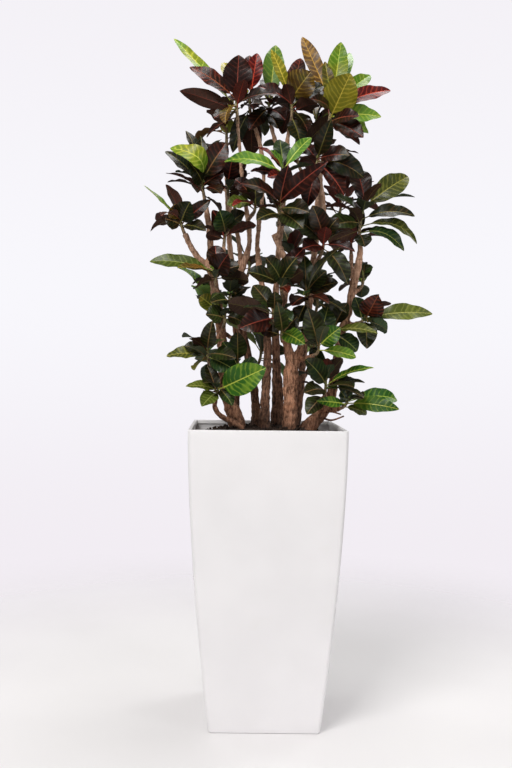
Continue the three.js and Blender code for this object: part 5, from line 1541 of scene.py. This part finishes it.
def leaf_material(name, blade, other, second, vein, other_vein, under, net, spread=0.5):
    """A croton leaf: midrib, side veins and their net over a mottled blade, glossy on top.

    Leaves of one tone run from other and other_vein low in the crown to blade and vein at
    its top. Net is how strongly the side veins show, and spread how much of second mottles.
    """
    g = material_graph(name)
    across, phase, along = g.split(g.attribute("veins"))
    flat = g.attribute("flat")
    shade, warmth, below = g.split(g.attribute("leaf"))

    wander = g.noise(flat, WANDER_SCALE, 1.0)
    fine = g.noise(flat, FINE_SCALE, 3.0, 0.6)
    cloud = g.noise(flat, CLOUD_SCALE, 3.0, 0.55)
    distance = g.math("ABSOLUTE", across)

    in_ribs = g.over(distance, g.line(along, 0.0, 1.0, RIB_AT_ROOT, RIB_AT_TIP))
    rib = g.fade(in_ribs, 0.55, 1.15)
    glow = g.fade(in_ribs, 0.8, 3.4)

    course = g.add(phase, g.times(g.less(wander, 0.5), VEIN_WANDER))
    gap = g.times(g.math("PINGPONG", g.add(course, 0.5), 0.5), 2.0)
    thin = g.line(distance, 2.0, 26.0, 1.0, 0.45)
    side = g.times(g.fade(g.over(gap, thin), 0.02, 0.14), g.ramp(along, 0.0, 0.05))
    halo = g.fade(gap, 0.0, 0.75)
    mesh = g.fade(g.cells(flat, NET_SCALE, "DISTANCE_TO_EDGE"), 0.02, 0.16)

    drift = g.less(g.noise(flat, DRIFT_SCALE, 1.0), 0.5)
    sunned = g.line(g.split(g.place())[2], SUN_FOOT, SUN_TOP, -SUN_SHARE, SUN_SHARE)
    kind = g.ramp(g.add(g.add(warmth, sunned), g.times(drift, DRIFT_SHARE)), 0.3, 0.7)
    veins = g.mix(kind, other_vein, vein)
    mottle = g.ramp(g.add(cloud, g.times(halo, HALO_MOTTLE)), 0.5, 0.7)
    colour = g.mix(g.times(mottle, spread), g.mix(kind, other, blade), second)
    colour = g.mix(g.times(g.times(mesh, mottle), 0.35 * net), colour, veins)
    colour = g.mix(g.times(halo, g.times(g.add(mottle, 0.35), 0.3 * net)), colour, veins)
    colour = g.mix(g.times(side, net), colour, veins)
    colour = g.mix(g.times(glow, GLOW_SHARE), colour, veins)
    colour = g.mix(rib, colour, veins)

    pale = g.mix(g.times(mottle, 0.35), under, second)
    pale = g.mix(g.add(g.times(side, 0.3), g.times(rib, 0.6)), pale, veins)
    colour = g.mix(below, colour, pale)
    light = g.times(g.line(shade, 0.0, 1.0, DARKEST_LEAF, LIGHTEST_LEAF), g.level(fine, 0.9, 1.08))
    warm, cool = 1 + WARMTH_TURN, 1 - WARMTH_TURN
    half_warm, half_cool = 1 + WARMTH_TURN / 2, 1 - WARMTH_TURN / 2
    redder = g.times(light, g.line(warmth, 0.0, 1.0, cool, warm))
    greener = g.times(light, g.line(warmth, 0.0, 1.0, half_warm, half_cool))
    colour = g.tinted(colour, redder, greener, light)

    gloss = g.level(g.noise(flat, GLOSS_SCALE), LEAF_ROUGHNESS - 0.05, LEAF_ROUGHNESS + 0.09)
    domes = g.less(1.0, g.math("POWER", g.less(1.0, gap), 2.0))
    domes = g.times(g.times(domes, g.ramp(distance, 0.5, 7.0)), DOME_RELIEF)
    relief = g.add(domes, g.add(g.times(fine, FINE_RELIEF), g.times(side, VEIN_RELIEF)))
    relief = g.add(relief, g.times(mesh, NET_RELIEF))
    relief = g.times(relief, g.line(below, 0.0, 1.0, 1.0, UNDER_RELIEF))
    return g.finish(
        Base_Color=colour, Roughness=g.math("MULTIPLY_ADD", below, UNDER_ROUGHER, gloss),
        Normal=g.bump(relief), IOR=PLANT_IOR, Specular_IOR_Level=LEAF_SPECULAR,
    )


LEAF_LOOKS = {
    "G": dict(blade="4c7224", other="2a5216", second="6a8a24", vein="b4c052",
              other_vein="b8bc4c", under="6f8c4c", net=0.17),
    "Y": dict(blade="6c7014", other="567416", second="8c8a20", vein="c8bc44",
              other_vein="b4c058", under="8a8c3c", net=0.4, spread=0.35),
    "B": dict(blade="46300c", other="484c10", second="6e5014", vein="a88434",
              other_vein="a09a3c", under="6a5430", net=0.4, spread=0.6),
    "D": dict(blade="1c0a06", other="131a09", second="34180c", vein="8c4232",
              other_vein="7a6c38", under="40281e", net=0.11),
    "R": dict(blade="400c0c", other="220f08", second="5e1810", vein="b8462e",
              other_vein="944a30", under="4e2a22", net=0.3),
    "O": dict(blade="3a4414", other="485018", second="626a24", vein="9c9c44",
              other_vein="a09c54", under="6e7444", net=0.25),
    "K": dict(blade="183014", other="22200e", second="2e4418", vein="86964a",
              other_vein="8c6c44", under="3e4634", net=0.12),
}


def stem_material():
    """Young green-brown wood with dark scars."""
    g = material_graph("young_stem")
    share, _, _ = g.split(g.attribute("leaf"))
    place = g.place()
    patches = g.noise(place, 220.0, 3.0, 0.6)
    fine = g.noise(place, 900.0)
    colour = g.mix(g.ramp(share, 0.0, 0.9), "a88a6e", "7a8440")
    colour = g.mix(g.ramp(patches, 0.35, 0.7), colour, "4d3a2a")
    relief = g.add(g.times(patches, 0.5), g.times(fine, 0.2))
    return g.finish(Base_Color=colour, Roughness=g.level(fine, 0.5, 0.72),
                    Normal=g.bump(relief), IOR=PLANT_IOR)


def bark_material(name, tone=1.0):
    """Croton bark: pale above, browner below, with corky rings and pale spots, and painted shade
    low down.
    """
    g = material_graph(name)
    place = g.place()
    _, _, height = g.split(place)
    patches = g.noise(place, 26.0, 4.0, 0.6)
    streaks = g.noise(g.place((1, 1, 0.3)), 170.0, 4.0, 0.65)
    rings = g.noise(g.place((0.25, 0.25, 1)), 150.0, 3.0, 0.6)
    fine = g.noise(place, 620.0, 3.0, 0.6)
    spots = g.fade(g.cells(place, 120.0, "F1"), 0.12, 0.3)

    lower = g.mix(g.ramp(streaks, 0.36, 0.64), "5a3a28", "cc9474")
    upper = g.mix(g.ramp(streaks, 0.32, 0.68), "a87e62", "e0baa0")
    share = g.ramp(g.add(height, g.times(g.less(patches, 0.5), 0.4)), 0.95, 1.4)
    colour = g.mix(share, lower, upper)
    colour = g.mix(g.ramp(patches, 0.5, 0.75, 0.0, 0.45), colour, "c07e5a")
    colour = g.mix(g.ramp(rings, 0.56, 0.72, 0.0, 0.55), colour, "422c20")
    colour = g.mix(g.times(spots, 0.4), colour, "bf9a7e")
    colour = g.mix(g.ramp(fine, 0.4, 0.75, 0.0, 0.35), colour, "634632")
    # Painted shade: near black low on the stems by the soil and the rim, where the pot and the
    # crown shade them
    colour = g.mix(g.ramp(height, 0.75, 0.84, 0.65, 0.0), colour, "2a1a12")
    # Painted shade on the lower stems: a tone below 1 darkens the bark up to 1.25 m, for the shade
    # inside the crown
    painted_shade = g.ramp(height, 0.85, 1.25, tone, 1.0)
    colour = g.tinted(colour, painted_shade, painted_shade, painted_shade)
    relief = g.add(g.times(streaks, 2.2), g.add(g.times(rings, -1.5), g.times(fine, 0.6)))
    relief = g.add(relief, g.times(spots, 0.35))
    return g.finish(Base_Color=colour, Roughness=g.level(fine, 0.72, 0.92),
                    Normal=g.bump(relief, BARK_RELIEF), IOR=PLANT_IOR)


def soil_material():
    """Dark potting mix with paler crumbs."""
    g = material_graph("potting_mix")
    place = g.place()
    clumps = g.noise(place, 45.0, 4.0, 0.65)
    fine = g.noise(place, 380.0, 4.0, 0.7)
    colour = g.mix(g.ramp(clumps, 0.3, 0.7), "1b120d", "3a2a20")
    colour = g.mix(g.ramp(fine, 0.5, 0.72, 0.0, 0.6), colour, "5b4536")
    relief = g.add(clumps, g.times(fine, 0.8))
    return g.finish(Base_Color=colour, Roughness=g.level(fine, 0.82, 0.98),
                    Normal=g.bump(relief, SOIL_RELIEF), IOR=SOIL_IOR)


def planter_material():
    """Satin white plastic: a very fine grain, faint unevenness, and dust inside by the soil."""
    g = material_graph("white_planter")
    place = g.place()
    x, y, height = g.split(place)
    broad = g.noise(place, 5.0)
    grain = g.noise(place, 1300.0)
    smudge = g.noise(place, 14.0, 4.0, 0.6)
    colour = g.mix(g.ramp(broad, 0.3, 0.7), "e8e6e8", "edebed")
    colour = g.mix(g.ramp(smudge, 0.58, 0.8, 0.0, 0.12), colour, "e1ddd6")
    reach = g.math("MAXIMUM", g.math("ABSOLUTE", x), g.math("ABSOLUTE", y))
    band = g.times(g.ramp(height, 0.69, 0.7), g.fade(height, 0.735, 0.772))
    within = g.times(g.fade(reach, 0.1945, 0.1955), band)
    dust = g.times(within, g.ramp(smudge, 0.3, 0.7, 0.02, 0.18))
    colour = g.mix(dust, colour, "a3968a")
    roughness = g.add(g.level(smudge, 0.36, 0.46), g.times(grain, 0.06))
    relief = g.add(g.times(grain, 0.05), g.times(broad, 0.3))
    return g.finish(Base_Color=colour, Roughness=roughness, Normal=g.bump(relief), IOR=PLASTIC_IOR)


# Stage: a pale floor that fades into a white backdrop, soft studio light, and the camera.
# Lengths here are metres, but for the camera's lens and sensor.
AMBIENT = 0.34
REFLECTED_AMBIENT = 0.12
AMBIENT_COLOUR = (1.0, 0.98, 0.95, 1)
BACKDROP = [(0.05, (0.855, 0.811, 0.847, 1)), (0.39, (0.887, 0.847, 0.896, 1)),
            (0.54, (0.939, 0.93, 0.973, 1)), (0.72, (0.905, 0.88, 0.922, 1))]
FLOOR_LEVEL = -0.0004
FLOOR_MIDDLE = 0.15
FLOOR_RADIUS = 6.0
FLOOR_RINGS = 24
FLOOR_AROUND = 96
FLOOR_FADE = (0.45, 2.1)

# Area lights: name, place, target, width and height, power, and colour where not white
LIGHTS = [
    ("key", (-1.3, -2.3, 3.3), (0, 0, 1.15), (1.5, 1.5), 100, (1, 0.99, 0.97)),
    ("front_low", (-0.4, -3.4, 0.75), (0, 0, 0.85), (2.4, 1.2), 8),
    ("fill_right", (2.4, -2.0, 1.7), (0, 0, 1.0), (1.2, 2.0), 20),
    ("top", (0.4, 0.5, 3.6), (0, 0, 1.0), (1.4, 1.4), 44),
    ("rim_left", (-2.2, 1.5, 1.7), (0, 0, 1.2), (1.0, 2.0), 14),
    ("rim_right", (2.2, 1.6, 1.7), (0, 0, 1.2), (1.0, 2.0), 14),
]

CAMERA_PITCH = 0.0227
CAMERA_ROLL = 0.0104
CAMERA_LENS = 40.64
CAMERA_SENSOR = 36
CAMERA_SHIFT = 0.0342
CAMERA_FAR = 60


def build_floor():
    angles = 2 * math.pi * np.arange(FLOOR_AROUND) / FLOOR_AROUND
    radii = np.linspace(FLOOR_MIDDLE, FLOOR_RADIUS, FLOOR_RINGS)
    points = [[0, 0, FLOOR_LEVEL]]
    points += [[r * math.cos(a), r * math.sin(a), FLOOR_LEVEL] for r in radii for a in angles]
    n = FLOOR_AROUND
    faces = [[0, 1 + k, 1 + (k + 1) % n] for k in range(n)]
    for i in range(FLOOR_RINGS - 1):
        for k in range(n):
            a, b = 1 + i * n + k, 1 + i * n + (k + 1) % n
            faces.append([a, a + n, b + n, b])
    mesh = bpy.data.meshes.new("floor")
    mesh.from_pydata(points, [], faces)
    floor = bpy.data.objects.new("floor", mesh)
    bpy.context.scene.collection.objects.link(floor)
    g = material_graph("studio_floor")
    x, y, _ = g.split(g.place())
    distance = g.math("SQRT", g.add(g.times(x, x), g.times(y, y)))
    texture = g.noise(g.place(), 3.0, 3.0)
    mesh.materials.append(g.finish(
        Base_Color=g.mix(texture, "e5e3e4", "e9e7e8"), Roughness=g.level(texture, 0.55, 0.65),
        Alpha=g.fade(distance, *FLOOR_FADE),
    ))


def build_world():
    """The camera sees the backdrop, and the part is lit by a dimmer plain ambient light."""
    world = bpy.data.worlds.new("studio")
    bpy.context.scene.world = world
    g = Graph(world)
    _, _, up = g.split(g.node("TexCoord").outputs["Generated"])
    backdrop = g.node("ValToRGB", {0: g.line(up, -1.0, 1.0)})
    backdrop.color_ramp.interpolation = "EASE"
    stops = backdrop.color_ramp.elements
    while len(stops) < len(BACKDROP):
        stops.new(0.5)
    for stop, (position, colour) in zip(stops, BACKDROP):
        stop.position = position
        stop.color = colour
    seen_white = g.node("Background", {"Color": backdrop.outputs["Color"], "Strength": 1.0})
    ray = g.node("LightPath").outputs
    strength = g.line(ray["Is Glossy Ray"], 0.0, 1.0, AMBIENT, REFLECTED_AMBIENT)
    ambient = g.node("Background", {"Color": AMBIENT_COLOUR, "Strength": strength})
    shaders = {0: ray["Is Camera Ray"], 1: ambient.outputs[0], 2: seen_white.outputs[0]}
    g.node("OutputWorld", {"Surface": g.node("MixShader", shaders).outputs[0]})


def add_light(name, place, target, size, power, colour=(1, 1, 1)):
    light = bpy.data.lights.new(name, "AREA")
    light.shape = "RECTANGLE"
    light.size, light.size_y = size
    light.energy = power
    light.color = colour
    lamp = bpy.data.objects.new(name, light)
    lamp.location = place
    lamp.rotation_euler = (Vector(target) - Vector(place)).to_track_quat("-Z", "Y").to_euler()
    bpy.context.scene.collection.objects.link(lamp)


def build_camera():
    """The photograph's camera: just under mid height, almost level, with a small roll."""
    forward = Vector((0, math.cos(CAMERA_PITCH), -math.sin(CAMERA_PITCH)))
    up = Vector((0, math.sin(CAMERA_PITCH), math.cos(CAMERA_PITCH)))
    right = Vector((1, 0, 0))
    rolled_right = right * math.cos(CAMERA_ROLL) + up * math.sin(CAMERA_ROLL)
    rolled_up = up * math.cos(CAMERA_ROLL) - right * math.sin(CAMERA_ROLL)
    turn = Matrix((rolled_right, rolled_up, -forward)).transposed()
    data = bpy.data.cameras.new("camera")
    data.sensor_width = CAMERA_SENSOR
    data.lens = CAMERA_LENS
    data.shift_x = CAMERA_SHIFT
    data.clip_end = CAMERA_FAR
    camera = bpy.data.objects.new("camera", data)
    camera.matrix_world = Matrix.Translation(Vector(EYE * MM)) @ turn.to_4x4()
    bpy.context.scene.collection.objects.link(camera)
    bpy.context.scene.camera = camera


limbs, shoots = grow_plant()
fill_crown(limbs, shoots)
leaf_materials = {
    tone: leaf_material(f"leaf_{tone.lower()}", **look) for tone, look in LEAF_LOOKS.items()
}
build_shoots(shoots, leaf_materials, stem_material())
# The inner and back stems take a bark copy with painted shade
build_wood(limbs, bark_material("bark"), bark_material("shaded_bark", 0.5))
build_planter(planter_material())
build_soil(soil_material())

build_floor()
build_world()
for light in LIGHTS:
    add_light(*light)
build_camera()
bpy.context.scene.view_settings.view_transform = "Standard"
